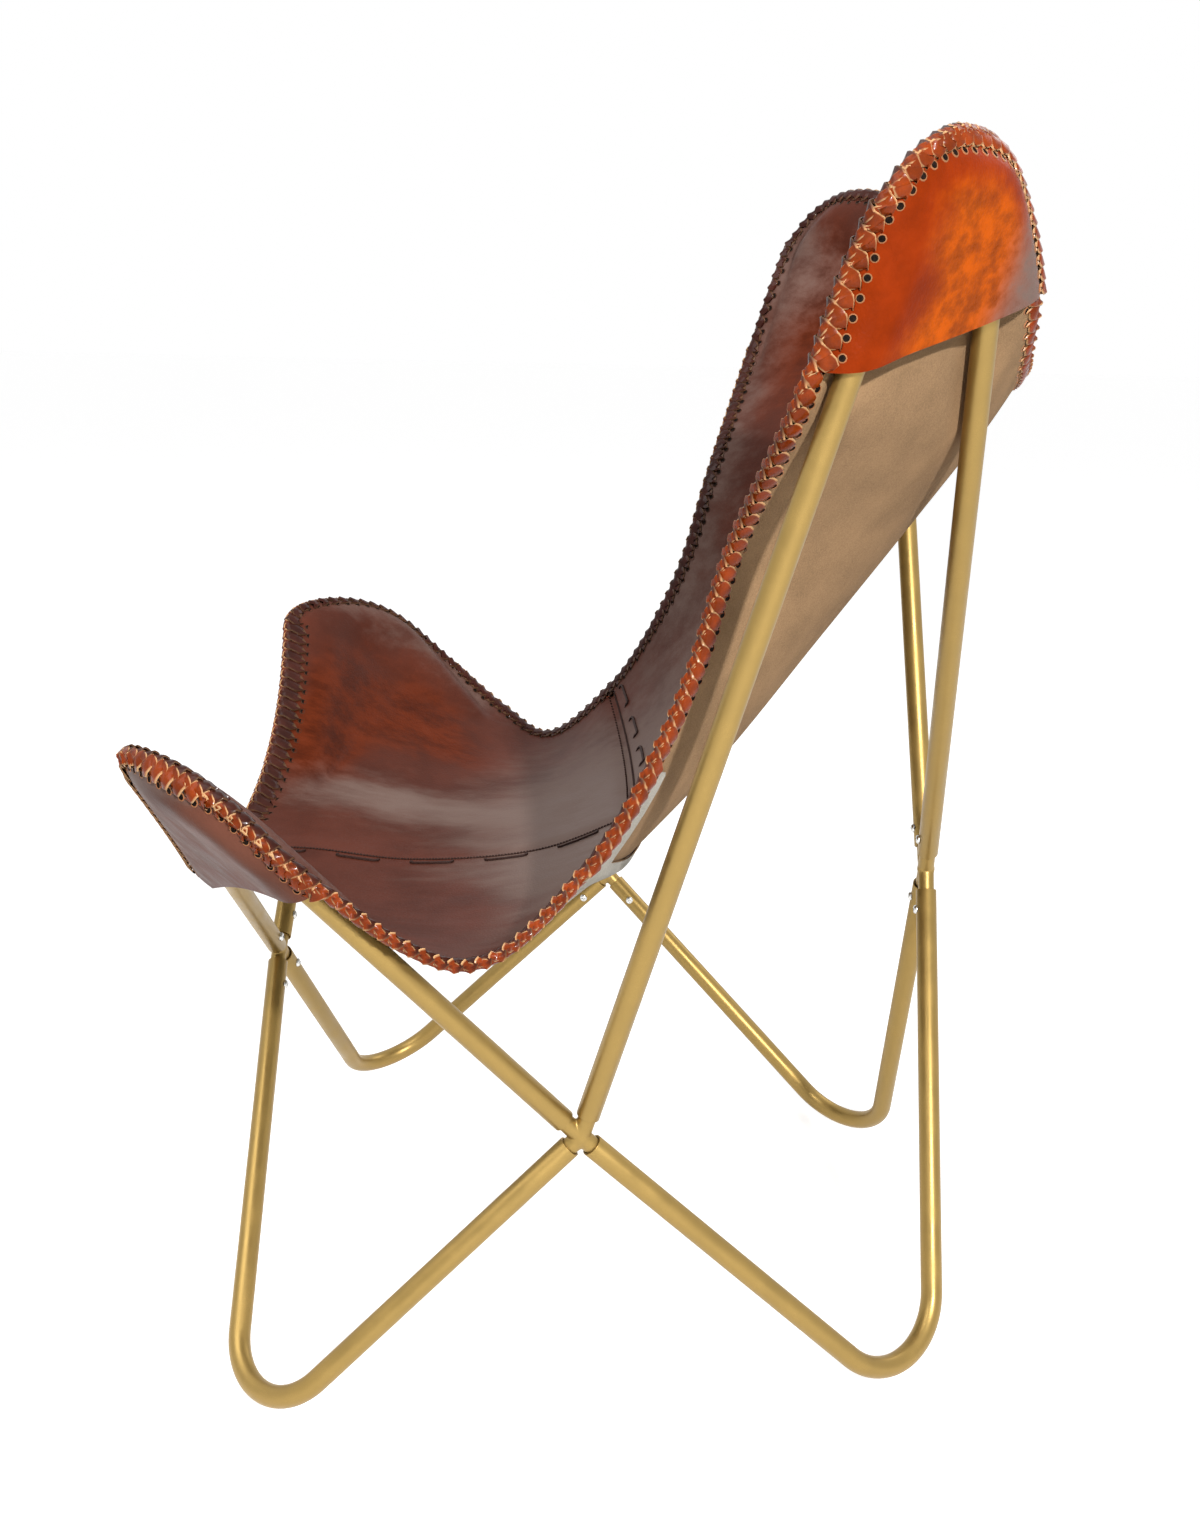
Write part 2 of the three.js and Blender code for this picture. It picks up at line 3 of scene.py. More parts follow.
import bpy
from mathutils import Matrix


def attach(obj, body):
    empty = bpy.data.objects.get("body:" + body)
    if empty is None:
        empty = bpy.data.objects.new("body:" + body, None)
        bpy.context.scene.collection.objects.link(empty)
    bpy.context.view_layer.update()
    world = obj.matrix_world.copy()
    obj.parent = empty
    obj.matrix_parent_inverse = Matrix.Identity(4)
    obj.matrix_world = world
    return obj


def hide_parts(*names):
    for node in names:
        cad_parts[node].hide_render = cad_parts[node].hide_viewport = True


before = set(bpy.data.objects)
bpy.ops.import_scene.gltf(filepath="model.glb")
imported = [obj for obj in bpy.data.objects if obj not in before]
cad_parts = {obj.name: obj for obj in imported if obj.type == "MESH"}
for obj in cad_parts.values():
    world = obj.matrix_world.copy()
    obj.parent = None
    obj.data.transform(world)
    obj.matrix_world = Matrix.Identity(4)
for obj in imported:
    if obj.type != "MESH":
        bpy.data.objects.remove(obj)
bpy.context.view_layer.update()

import math

import bpy
import numpy as np
from bpy.props import FloatProperty, FloatVectorProperty, IntProperty, PointerProperty
from bpy.types import Operator, Panel, PropertyGroup
from mathutils import Matrix, Vector

bl_info = {
    "name": "Butterfly Chair",
    "version": (1, 0, 0),
    "blender": (4, 5, 0),
    "location": "3D View > Sidebar > Chair",
    "description": "Builds a butterfly sling chair around its packed frame",
    "category": "Object",
}

# Sizes are in millimetres here and become metres when a mesh is made
MM = 0.001
CHAIR_SHIFT = np.array([0.0, 24.014, 0.0])
SIDES = {"left": 1, "right": -1}
TUBE_DIAMETER = 16.0
LEATHER_THICKNESS = 3.0

# Corners of the tube axes on the sitter's left
FRONT_PEAK = np.array([340.0, -284.0, 504.0])
REAR_PEAK = np.array([339.5, 206.0, 993.0])
FRONT_FOOT = np.array([302.0, -254.0, 0.0])
REAR_FOOT = np.array([200.5, 254.0, 0.0])
SIDE_CROSS = np.array([273.0, -11.5, 218.0])
FRONT_CROSS = np.array([0.0, -277.0, 234.0])
REAR_CROSS = np.array([0.0, 249.0, 326.5])
BEND_RADIUS = 54.0
FOOT_FLAT_DEPTH = 0.6
TUBE_END_CLEARANCE = 2.5
SCREW_DISTANCE = 33.0
SPIGOT_REACH = 50.0
SCREW_SINK = 0.25
FLOOR_PASSES = 30

# Sling: its sizes, and its outline as shares of its half width and of its length
TUBE_EASE = 2.0
TUBE_SPREAD = 28.0
EDGE_SPREAD = 12.0
LAP_WIDTH = 22.0
LEATHER_GAP = 1.0
POCKET_GAP = 0.8
SEAT_SAG_POWER = 2.18
BACK_SAG_POWER = 2.35
TOP_CENTRE = 0.825
TOP_SAG = 0.128
EAR_RISE = 0.075
EAR_START = 0.38
EAR_END = 0.82
EAR_TOP = 0.979
EAR_ROUND_START = 0.86
EAR_ROUND_DROP = 0.058
EAR_BLEND = 0.004
TIP_ROUND_START = 0.87
TIP_ROUND_DROP = 0.107
REAR_HEM_SIDE = 0.83
REAR_HEM_INNER = 0.895
REAR_FLAP_INNER = 0.58
FRONT_HEM_SIDE = 0.149
FRONT_HEM_INNER = 0.051
FRONT_FLAP_INNER = 0.45
REAR_HEM_DIP = 0.009
HEM_DIP_START = 0.88
FLAP_MARGIN = 2.5
FLAP_SWELL = 3.0
FLAP_ROUND = 20.0
FLAP_FULLNESS = 6
SEAT_TUCK = 10.0
SKIVED = 0.3
SIDE_STRIP = 0.09
SIDE_STRIP_START = 0.875
SIDE_STRIP_END = 0.93
STEP = 1e-3
EDGE_U = 1 - 2 * STEP

# Screw head, as shares of its radius and of its height
HEAD_HEIGHT = 0.68
HEAD_ROUND = 0.75
RECESS_LENGTH = 1.05
RECESS_WIDTH = 0.3
RECESS_DEPTH = 1.1

# Steps of the meshes; the ease crowds the rows of the back towards the top
TUBE_SIDES = 40
BEND_STEPS = 28
BACK_COLUMNS = 130
BACK_ROWS = 90
BACK_ROW_EASE = 1.3
HALF_COLUMNS = 64
SEAT_ROWS = 70
LAP_ROWS = 14
FLAP_ROWS = 48
EDGE_COLUMNS = 160
EDGE_ROWS = 300
SEAM_POINTS = 240
WAIST_POINTS = 320
HOLE_SIDES = 10
STITCH_SIDES = 6

# Wraps of the lacing, and the short strips that cross from one to the next
WRAP_LEAN = 0.35
WRAP_TILT = 0.35
WRAP_TURN = 0.4
WRAP_NARROW = 0.3
WRAP_NARROW_ANGLE = 2.2
CORNER_START = 0.85
CORNER_BLEND = 0.12
CORNER_REAR = 0.8
CORNER_FRONT = 0.2
CORNER_FADE = 0.06
CROSSING_POINTS = 7
CROSSING_ANGLE = 1.15
CROSSING_SPAN = 0.62
CROSSING_WIDTH = 0.5
CROSSING_TAPER = 0.4
CROSSING_THICKNESS = 0.8
CROSSING_LIFT = 0.6
CROSSING_SINK = 1.3

# Distances of the stitches and lace loops from their seams
SEAM_ROPE = 1.0
WAIST_ROW = 7.0
WAIST_LOOPS = 15.0
WAIST_LEG = 7.0
CENTRE_LOOPS = 10.0
CENTRE_LEG = 6.0

# Sections of a strip, of a hole's rings and of a stitch: place or size first, then height and girth
STRIP_PROFILE = np.array([[-0.5, 0.0], [-0.43, 1.0], [0.0, 1.15], [0.43, 1.0], [0.5, 0.0]])
HOLE_RINGS = ((1.0, 0.05), (1.0, 0.35), (1.25, 0.3), (1.4, -0.2))
STITCH_PROFILE = np.array([
    [-0.5, -0.6, 0.5], [-0.3, 0.5, 0.95], [0.0, 0.75, 1.0], [0.3, 0.5, 0.95], [0.5, -0.6, 0.5]])

# Floor and camera
FLOOR_GLOW = 0.85
CAMERA_AZIMUTH = 93.7328
CAMERA_ELEVATION = 15.3042
CAMERA_ROLL = 1.117
CAMERA_PLACE = np.array([1313.45, 26.242, 760.86])
PICTURE_HEIGHT = 1523
CAMERA_SHIFT = (56.747 / PICTURE_HEIGHT, 3.646 / PICTURE_HEIGHT)


# Settings


def number_setting(name, description, default, unit="NONE"):
    return FloatProperty(name=name, description=description, default=default, unit=unit)


def length_setting(name, description, default):
    return number_setting(name, description, default, "LENGTH")


def colour_setting(name, description, default):
    return FloatVectorProperty(name=name, description=description, default=default, subtype="COLOR")


class ChairFrameSettings(PropertyGroup):
    tube_diameter: length_setting("Tube diameter", "Outside diameter of the frame tubes", TUBE_DIAMETER * MM)
    tube_wall: length_setting("Tube wall", "Wall of the frame tubes", 0.0012)
    spigot_diameter: length_setting("Spigot diameter", "Diameter of the cross arms inside the tubes", 0.0126)
    screw_head: length_setting("Screw head", "Diameter of the screw heads", 0.007)
    paint_colour: colour_setting("Paint", "Colour of the gold paint", (0.375, 0.245, 0.072))
    steel_colour: colour_setting("Screw steel", "Colour of the plated screws", (0.72, 0.72, 0.7))


class ChairSlingSettings(PropertyGroup):
    leather_thickness: length_setting("Leather", "Thickness of the panels", LEATHER_THICKNESS * MM)
    pocket_thickness: length_setting("Pocket leather", "Thickness of the pocket flaps", 0.0025)
    leather_colour: colour_setting("Leather", "Main colour of the grain side", (0.092, 0.026, 0.016))
    burnish_colour: colour_setting("Burnish", "Colour where the leather is rubbed", (0.122, 0.021, 0.006))
    # Colour of a grey sheen painted into the leather in place of reflected light
    painted_sheen_colour: colour_setting("Painted sheen", "Colour where the wax has turned grey", (0.2, 0.135, 0.112))
    tan_colour: colour_setting("Tan", "Colour of the rear pocket flaps", (0.53, 0.088, 0.002))
    tan_edge_colour: colour_setting("Tan edge", "Rear flaps near the lacing", (0.27, 0.029, 0.003))
    dark_colour: colour_setting("Dark pocket", "Colour of the front pocket flaps", (0.135, 0.05, 0.032))
    suede_colour: colour_setting("Suede", "Reverse of the back panel", (0.335, 0.203, 0.103))
    lining_colour: colour_setting("Seat reverse", "Reverse of the seat halves", (0.53, 0.5, 0.44))


class ChairLacingSettings(PropertyGroup):
    pitch: length_setting("Pitch", "Distance from wrap to wrap", 0.011)
    thong_width: length_setting("Thong width", "Width of the flat thong", 0.0108)
    thong_thickness: length_setting("Thong thickness", "Thickness of the flat thong", 0.0012)
    hole_diameter: length_setting("Holes", "Diameter of the punched holes", 0.0042)
    outer_colour: colour_setting("Outer side", "Colour of the thong outside the sling", (0.31, 0.046, 0.006))
    inner_colour: colour_setting("Inner side", "Colour of the thong inside the sling", (0.065, 0.016, 0.01))
    cut_colour: colour_setting("Cut edge", "Colour of the raw edges of the thong", (0.8, 0.5, 0.24))


class ChairStageSettings(PropertyGroup):
    floor_colour: colour_setting("Floor", "Colour of the floor", (0.66, 0.66, 0.66))
    ambient: number_setting("Ambient", "Strength of the even light", 0.16)
    key_power: number_setting("Light power", "Power that the three lights are set from", 32.0, "POWER")
    lens: number_setting("Lens", "Focal length of the camera", 40.305, "CAMERA")


# Shapes of the bent tubes


def unit(vector):
    return vector / np.linalg.norm(vector)


def units(vectors):
    return vectors / np.linalg.norm(vectors, axis=-1, keepdims=True)


def on_side(point, sign):
    return point * np.array([sign, 1.0, 1.0])


def in_metres(points):
    return (np.asarray(points) + CHAIR_SHIFT) * MM


class Bend:
    """Two straight runs from a corner and the arc that joins them."""

    def __init__(self, corner, cross_a, cross_b):
        self.corner = corner
        self.cross_a = cross_a
        self.cross_b = cross_b
        self.to_a = unit(cross_a - corner)
        self.to_b = unit(cross_b - corner)
        self.half = math.acos(float(np.dot(self.to_a, self.to_b))) / 2
        self.middle = unit(self.to_a + self.to_b)
        self.across = unit(self.to_a - self.to_b)
        self.normal = unit(np.cross(self.across, self.middle))
        self.centre = corner + self.middle * BEND_RADIUS / math.sin(self.half)
        self.top = self.centre - self.middle * BEND_RADIUS
        sitter = np.array([0.0, 0.0, (FRONT_PEAK[2] + REAR_PEAK[2]) / 2])
        self.inward = self.normal * np.sign(np.dot(self.normal, sitter - corner))

    def outside_axis(self, points):
        """Distance outside the tube axis in the plane of the bend; negative between the two runs."""
        offset = points - self.corner
        along = offset @ self.middle
        across = np.abs(offset @ self.across)
        run = across * math.sin(self.half) + along * math.cos(self.half)
        straight = across * math.cos(self.half) - along * math.sin(self.half)
        round_part = np.hypot(across, along - BEND_RADIUS / math.sin(self.half)) - BEND_RADIUS
        return np.where(run > BEND_RADIUS / math.tan(self.half), straight, round_part)

    def height(self, points):
        return (points - self.corner) @ self.inward


def foot_corner(place, cross_a, cross_b, tube_radius):
    corner = place.copy()
    for _ in range(FLOOR_PASSES):
        bend = Bend(corner, cross_a, cross_b)
        dip = BEND_RADIUS * math.sqrt(1 - bend.normal[2] ** 2) + tube_radius - FOOT_FLAT_DEPTH
        corner[2] += dip - bend.centre[2]
    return corner


def frame_layout(tube_radius):
    """Lists the bent tubes, each with its two ends, and the arms that meet at each cross."""
    tubes = []
    crosses = {}
    for side_name, sign in SIDES.items():
        side_cross = on_side(SIDE_CROSS, sign)
        side = ("side", f"side_cross_{side_name}", side_cross, np.array([-sign, 0.0, 0.0]))
        front = ("front", "front_cross", FRONT_CROSS, np.array([0.0, 1.0, 0.0]))
        rear = ("rear", "rear_cross", REAR_CROSS, np.array([0.0, -1.0, 0.0]))
        front_foot = foot_corner(on_side(FRONT_FOOT, sign), side_cross, FRONT_CROSS, tube_radius)
        rear_foot = foot_corner(on_side(REAR_FOOT, sign), side_cross, REAR_CROSS, tube_radius)
        for name, corner, other in (
            ("front_peak", on_side(FRONT_PEAK, sign), front),
            ("rear_peak", on_side(REAR_PEAK, sign), rear),
            ("front_foot", front_foot, front),
            ("rear_foot", rear_foot, rear),
        ):
            ends = []
            for label, cross_name, cross, inside in (side, other):
                arm = unit(corner - cross)
                outward = unit(inside - arm * np.dot(inside, arm))
                ends.append({"label": label, "cross": cross_name, "arm": arm,
                             "base": cross + arm * SCREW_DISTANCE, "outward": outward})
                crosses.setdefault(cross_name, {"centre": cross, "arms": []})["arms"].append(arm)
            bend = Bend(corner, side_cross, other[2])
            tubes.append({"name": f"{name}_{side_name}", "bend": bend, "ends": ends})
    return tubes, crosses


def end_gap(end, crosses, tube_radius):
    others = [arm for arm in crosses[end["cross"]]["arms"] if arm is not end["arm"]]
    nearest = min(math.acos(float(np.dot(arm, end["arm"]))) for arm in others)
    return tube_radius / math.tan(nearest / 2) + TUBE_END_CLEARANCE


# Shape of the sling


def smooth(value):
    value = np.clip(value, 0, 1)
    return value * value * (3 - 2 * value)


def lerp(low, high, share):
    return low + (high - low) * share


def spline(points, share):
    """Point on a smooth curve through evenly timed points."""
    points = np.asarray(points, dtype=float)
    spans = len(points) - 1
    place = np.clip(share, 0, 1) * spans
    span = np.minimum(np.floor(place).astype(int), spans - 1)
    part = (place - span)[..., None]
    ends = np.vstack([2 * points[0] - points[1], points, 2 * points[-1] - points[-2]])
    before, start, stop, after = (ends[span + i] for i in range(4))
    leave = (stop - before) / 2
    arrive = (after - start) / 2
    square = -3 * start + 3 * stop - 2 * leave - arrive
    cube = 2 * start - 2 * stop + leave + arrive
    return start + leave * part + square * part ** 2 + cube * part ** 3


front_bend = Bend(FRONT_PEAK, SIDE_CROSS, FRONT_CROSS)
rear_bend = Bend(REAR_PEAK, SIDE_CROSS, REAR_CROSS)


def from_front(x, y, z):
    return front_bend.top + np.array([x, y, z])


def from_rear(x, y, z):
    return rear_bend.top + np.array([x, y, z])


def on_centre(point):
    return on_side(point, 0)


WAIST_CENTRE = on_centre(from_rear(0, -173, -477))
SEAT_CENTRE = [
    on_centre(from_front(0, -59, -137)),
    on_centre(from_front(0, 7, -134)),
    on_centre(from_front(0, 94, -140)),
    on_centre(from_front(0, 195, -128)),
    WAIST_CENTRE,
]
BACK_CENTRE = [
    WAIST_CENTRE,
    on_centre(from_rear(0, -106, -406)),
    on_centre(from_rear(0, -38, -315)),
    on_centre(from_rear(0, 30, -221)),
    on_centre(from_rear(0, 76, -148)),
    on_centre(from_rear(0, 119, -65)),
    on_centre(from_rear(0, 153, 28)),
]
SIDE_EDGE = [
    from_front(-19, -66, 47),
    from_front(30, 36, -8),
    from_front(22, 133, -84),
    from_front(-9, 187, -104),
    from_rear(-22, -201, -431),
    from_rear(-39, -163, -367),
    from_rear(-51, -138, -305),
    from_rear(-45, -118, -227),
    from_rear(27, -87, -132),
    from_rear(34, -64, -54),
    from_rear(80, -33, 28),
]
WAIST = (len(SEAT_CENTRE) - 1) / (len(SIDE_EDGE) - 1)


def arc_lengths(points):
    return np.concatenate([[0], np.cumsum(np.linalg.norm(np.diff(points, axis=0), axis=1))])


def path_length(points):
    return float(arc_lengths(points)[-1])


FINE = np.linspace(0, 1, 400)
SLING_LENGTH = path_length(spline(SEAT_CENTRE, FINE)) + path_length(spline(BACK_CENTRE, FINE))
LAP = LAP_WIDTH / SLING_LENGTH
CENTRE_LAP_U = LAP_WIDTH / spline(SIDE_EDGE, np.array(WAIST))[0]


def sling_point(u, v):
    """Middle surface of the leather; u runs from edge to edge, v from the front over the waist to the top."""
    u, v = np.broadcast_arrays(np.asarray(u, float), np.asarray(v, float))
    edge = spline(SIDE_EDGE, v)
    up_back = (v - WAIST) / (1 - WAIST)
    centre = np.where((up_back < 0)[..., None], spline(SEAT_CENTRE, v / WAIST), spline(BACK_CENTRE, up_back))
    power = lerp(SEAT_SAG_POWER, BACK_SAG_POWER, smooth(up_back))
    point = lerp(centre, edge, (np.abs(u) ** power)[..., None])
    point[..., 0] = np.abs(u) * edge[..., 0]
    crest = TUBE_DIAMETER / 2 + TUBE_EASE + LEATHER_THICKNESS / 2
    for bend in (front_bend, rear_bend):
        outside = bend.outside_axis(point)
        sideways = (point - bend.top) @ bend.across
        towards_side = smooth((sideways + BEND_RADIUS) / (2 * BEND_RADIUS))
        beyond = lerp(TUBE_SPREAD, EDGE_SPREAD, towards_side)
        wanted = crest * np.exp(-((outside / np.where(outside > 0, beyond, TUBE_SPREAD)) ** 2))
        missing = wanted - bend.height(point)
        lift = (missing + np.hypot(missing, TUBE_EASE)) / 2
        point = point + lift[..., None] * bend.inward
    point[..., 0] *= np.sign(u)
    return point


def top_edge(u):
    width = np.abs(u)
    rise = EAR_RISE * smooth((width - EAR_START) / (EAR_END - EAR_START))
    ramp = TOP_CENTRE + TOP_SAG * width ** 2 + rise
    share = np.clip((width - EAR_ROUND_START) / (1 - EAR_ROUND_START), 0, 1)
    turn = EAR_TOP - EAR_ROUND_DROP * (1 - np.sqrt(1 - share ** 2))
    return np.minimum(ramp, turn) - EAR_BLEND * np.log1p(np.exp(-np.abs(ramp - turn) / EAR_BLEND))


def front_edge(u):
    share = np.clip((np.abs(u) - TIP_ROUND_START) / (1 - TIP_ROUND_START), 0, 1)
    return TIP_ROUND_DROP * (1 - np.sqrt(1 - share ** 2))


def rear_hem(u):
    dip = REAR_HEM_DIP * np.clip((np.abs(u) - HEM_DIP_START) / (1 - HEM_DIP_START), 0, 1) ** 2
    return lerp(REAR_HEM_INNER, REAR_HEM_SIDE, (np.abs(u) - REAR_FLAP_INNER) / (1 - REAR_FLAP_INNER)) - dip


def front_hem(u):
    return lerp(FRONT_HEM_INNER, FRONT_HEM_SIDE, (np.abs(u) - FRONT_FLAP_INNER) / (1 - FRONT_FLAP_INNER))


def flap_surface(bend, edge_at, leather, pocket, tube_radius):
    """Middle surface of a pocket flap, which leaves the laced edge and swells over the tube."""
    behind = tube_radius + TUBE_EASE + pocket / 2
    at_edge = (leather + pocket) / 2 + POCKET_GAP

    def surface(u, v):
        u, v = np.broadcast_arrays(np.asarray(u, float), np.asarray(v, float))
        point = sling_point(np.abs(u), v)
        from_side = (1 - np.abs(u)) * spline(SIDE_EDGE, v)[..., 0]
        from_end = np.abs(v - edge_at(u)) * SLING_LENGTH
        from_edge = from_side * from_end / (np.hypot(from_side, from_end) + STEP)
        opened = np.maximum(from_edge - FLAP_MARGIN, 0)
        outside = np.maximum(bend.outside_axis(point) + FLAP_ROUND, 0)
        share = outside / (outside + opened + STEP)
        drop = lerp(bend.height(point) + behind + FLAP_SWELL, at_edge, share ** FLAP_FULLNESS)
        point = point - drop[..., None] * bend.inward
        point[..., 0] *= np.sign(u)
        return point

    return surface


def flap_surfaces(scene):
    """Middle surfaces of the rear and of the front flaps."""
    leather = scene.chair_sling.leather_thickness / MM
    pocket = scene.chair_sling.pocket_thickness / MM
    tube_radius = scene.chair_frame.tube_diameter / 2 / MM
    return [flap_surface(bend, edge_at, leather, pocket, tube_radius)
            for bend, edge_at in ((rear_bend, top_edge), (front_bend, front_edge))]


def surface_normal(surface, u, v):
    along_u = surface(u + STEP, v) - surface(u - STEP, v)
    along_v = surface(u, v + STEP) - surface(u, np.maximum(v - STEP, 0))
    return units(np.cross(along_u, along_v))


def columns_between(start, stop, count):
    return np.sin(np.linspace(math.asin(start), math.asin(stop), count + 1))


# Meshes


def leave_edit():
    if bpy.context.object and bpy.context.object.mode != "OBJECT":
        bpy.ops.object.mode_set(mode="OBJECT")


def deselect():
    leave_edit()
    bpy.ops.object.select_all(action="DESELECT")


def select_only(piece):
    deselect()
    piece.select_set(True)
    bpy.context.view_layer.objects.active = piece


def edit_all(piece):
    select_only(piece)
    bpy.ops.object.mode_set(mode="EDIT")
    bpy.ops.mesh.select_all(action="SELECT")


def settled(name):
    """Name the object that was just made and move its own zero to the scene's."""
    piece = bpy.context.object
    piece.name = name
    select_only(piece)
    bpy.ops.object.transform_apply(location=True, rotation=True, scale=True)
    return piece


def apply_modifier(piece, kind, **values):
    select_only(piece)
    modifier = piece.modifiers.new(kind.title(), kind)
    for name, value in values.items():
        setattr(modifier, name, value)
    bpy.ops.object.modifier_apply(modifier=modifier.name)


def smooth_faces(piece, degrees):
    select_only(piece)
    bpy.ops.object.shade_smooth_by_angle(angle=math.radians(degrees))


def dress(piece, finishes, slot, *nodes):
    for name in finishes:
        piece.data.materials.append(bpy.data.materials[name])
    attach(piece, "root")
    if nodes:
        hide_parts(*nodes)


def mesh_object(name, points, faces):
    mesh = bpy.data.meshes.new(name)
    mesh.from_pydata(in_metres(points).tolist(), [], faces)
    piece = bpy.data.objects.new(name, mesh)
    bpy.context.scene.collection.objects.link(piece)
    return piece


def set_attribute(piece, name, values):
    attribute = piece.data.attributes.new(name, "FLOAT", "POINT")
    attribute.data.foreach_set("value", np.ascontiguousarray(values, dtype=np.float32).ravel())


def set_material_index(piece, *counts):
    """Give the first faces material 0, the next ones 1 and so on."""
    indices = np.repeat(np.arange(len(counts)), counts).astype(np.int32)
    piece.data.polygons.foreach_set("material_index", indices)


def leather_sheet(name, surface, u, v, thickness, offset):
    """Closed sheet over a grid of points; the grain side has material 0, the reverse 1 and the cut edge 2."""
    middle = surface(u, v)
    normal = surface_normal(surface, u, v)
    columns, rows = u.shape
    upper = middle + normal * (offset + thickness / 2)[..., None]
    lower = middle + normal * (offset - thickness / 2)[..., None]
    points = np.concatenate([upper.reshape(-1, 3), lower.reshape(-1, 3)])
    index = np.arange(columns * rows).reshape(columns, rows)
    quads = np.stack([index[:-1, :-1], index[1:, :-1], index[1:, 1:], index[:-1, 1:]], axis=-1).reshape(-1, 4)
    rim = np.concatenate([index[:-1, 0], index[-1, :-1], index[:0:-1, -1], index[0, :0:-1]])
    turned = np.roll(rim, -1)
    below = columns * rows
    walls = np.stack([rim, rim + below, turned + below, turned], axis=-1)
    faces = np.concatenate([quads, quads[:, ::-1] + below, walls])
    corner = np.stack([middle[1, 0] - middle[0, 0], middle[0, 1] - middle[0, 0], normal[0, 0]])
    if np.linalg.det(corner) < 0:
        faces = faces[:, ::-1]
    piece = mesh_object(name, points, faces.tolist())
    set_material_index(piece, len(quads), len(quads), len(walls))
    smooth_faces(piece, 50)
    return piece, middle


def ring_faces(items, rings, sides):
    """Quads between the rings of each item, then the first and the last ring of every item."""
    index = np.arange(items * rings * sides).reshape(items, rings, sides)
    turned = np.roll(index, -1, axis=2)
    quads = np.stack([index[:, :-1], turned[:, :-1], turned[:, 1:], index[:, 1:]], axis=-1)
    return quads.reshape(-1, 4).tolist(), index[:, 0].tolist(), index[:, -1].tolist()


def closed_rings(items, rings, sides):
    quads, first, last = ring_faces(items, rings, sides)
    return quads + [ring[::-1] for ring in first] + last


def joined(name, parts):
    """One mesh of many parts, each with its points and faces first."""
    faces = []
    total = 0
    for part in parts:
        faces += [[i + total for i in face] for face in part[1]]
        total += len(part[0])
    return mesh_object(name, np.concatenate([part[0] for part in parts]), faces)


# Node groups and materials


def feed(tree, node, inputs):
    """Link sockets to a node's inputs, or set numbers and colours on them."""
    for name, value in inputs.items():
        socket = node.inputs[name]
        if isinstance(value, bpy.types.NodeSocket):
            tree.links.new(value, socket)
        elif socket.type == "RGBA":
            socket.default_value = (*value, 1.0)
        else:
            socket.default_value = value


def add_node(tree, kind, inputs, **values):
    node = tree.nodes.new(kind)
    for name, value in values.items():
        setattr(node, name, value)
    feed(tree, node, inputs)
    return node.outputs


def noise(tree, vector, scale, detail=3.0, roughness=0.5):
    inputs = {"Vector": vector, "Scale": scale, "Detail": detail, "Roughness": roughness}
    return add_node(tree, "ShaderNodeTexNoise", inputs)["Fac"]


def math_node(tree, operation, first, second):
    return add_node(tree, "ShaderNodeMath", {0: first, 1: second}, operation=operation)[0]


def remap(tree, value, low, high, new_low=0.0, new_high=1.0):
    inputs = {"Value": value, "From Min": low, "From Max": high, "To Min": new_low, "To Max": new_high}
    return add_node(tree, "ShaderNodeMapRange", inputs, interpolation_type="SMOOTHSTEP")["Result"]


def mix_colour(tree, share, first, second, blend="MIX"):
    inputs = {0: share, 6: first, 7: second}
    return add_node(tree, "ShaderNodeMix", inputs, data_type="RGBA", blend_type=blend)[2]


def scaled(colour, factor):
    return tuple(min(channel * factor, 1.0) for channel in colour)


def toned(tree, value, low, high, colour, dark, pale):
    """A colour that goes from dark to pale as a value rises."""
    return mix_colour(tree, remap(tree, value, low, high), scaled(colour, dark), scaled(colour, pale))


def object_coordinates(tree):
    return add_node(tree, "ShaderNodeTexCoord", {})["Object"]


def read_attribute(tree, name):
    return add_node(tree, "ShaderNodeAttribute", {}, attribute_name=name)["Fac"]


def place_group(tree, name, inputs):
    return add_node(tree, "ShaderNodeGroup", inputs, node_tree=bpy.data.node_groups[name])


def bumped(tree, height, strength, distance):
    inputs = {"Height": height, "Strength": strength, "Distance": distance}
    return add_node(tree, "ShaderNodeBump", inputs)["Normal"]


def new_group(name, inputs, outputs):
    group = bpy.data.node_groups.new(name, "ShaderNodeTree")
    for socket, default in inputs.items():
        made = group.interface.new_socket(socket, in_out="INPUT", socket_type="NodeSocketFloat")
        made.default_value = default
    for socket in outputs:
        group.interface.new_socket(socket, in_out="OUTPUT", socket_type="NodeSocketFloat")
    return group, group.nodes.new("NodeGroupInput").outputs, group.nodes.new("NodeGroupOutput")


def make_grain_group():
    """Leather grain: pebbled height, soft mottling and fine streaks."""
    inputs = {"Grain Scale": 700.0, "Mottle Scale": 14.0}
    group, start, end = new_group("Leather Grain", inputs, ["Height", "Mottle", "Streak"])
    place = object_coordinates(group)
    scale = start["Grain Scale"]
    cells = add_node(group, "ShaderNodeTexVoronoi", {"Vector": place, "Scale": scale}, feature="SMOOTH_F1")
    pebbles = math_node(group, "MULTIPLY", cells["Distance"], 0.7)
    pores = math_node(group, "MULTIPLY", noise(group, place, scale, 2.0), 0.5)
    stretched = add_node(group, "ShaderNodeMapping", {"Vector": place, "Scale": (1.0, 0.3, 1.0)})["Vector"]
    streak_scale = math_node(group, "MULTIPLY", start["Mottle Scale"], 4.0)
    feed(group, end, {
        "Height": math_node(group, "ADD", pebbles, pores),
        "Mottle": noise(group, place, start["Mottle Scale"], 5.0, 0.6),
        "Streak": noise(group, stretched, streak_scale, 6.0, 0.65),
    })


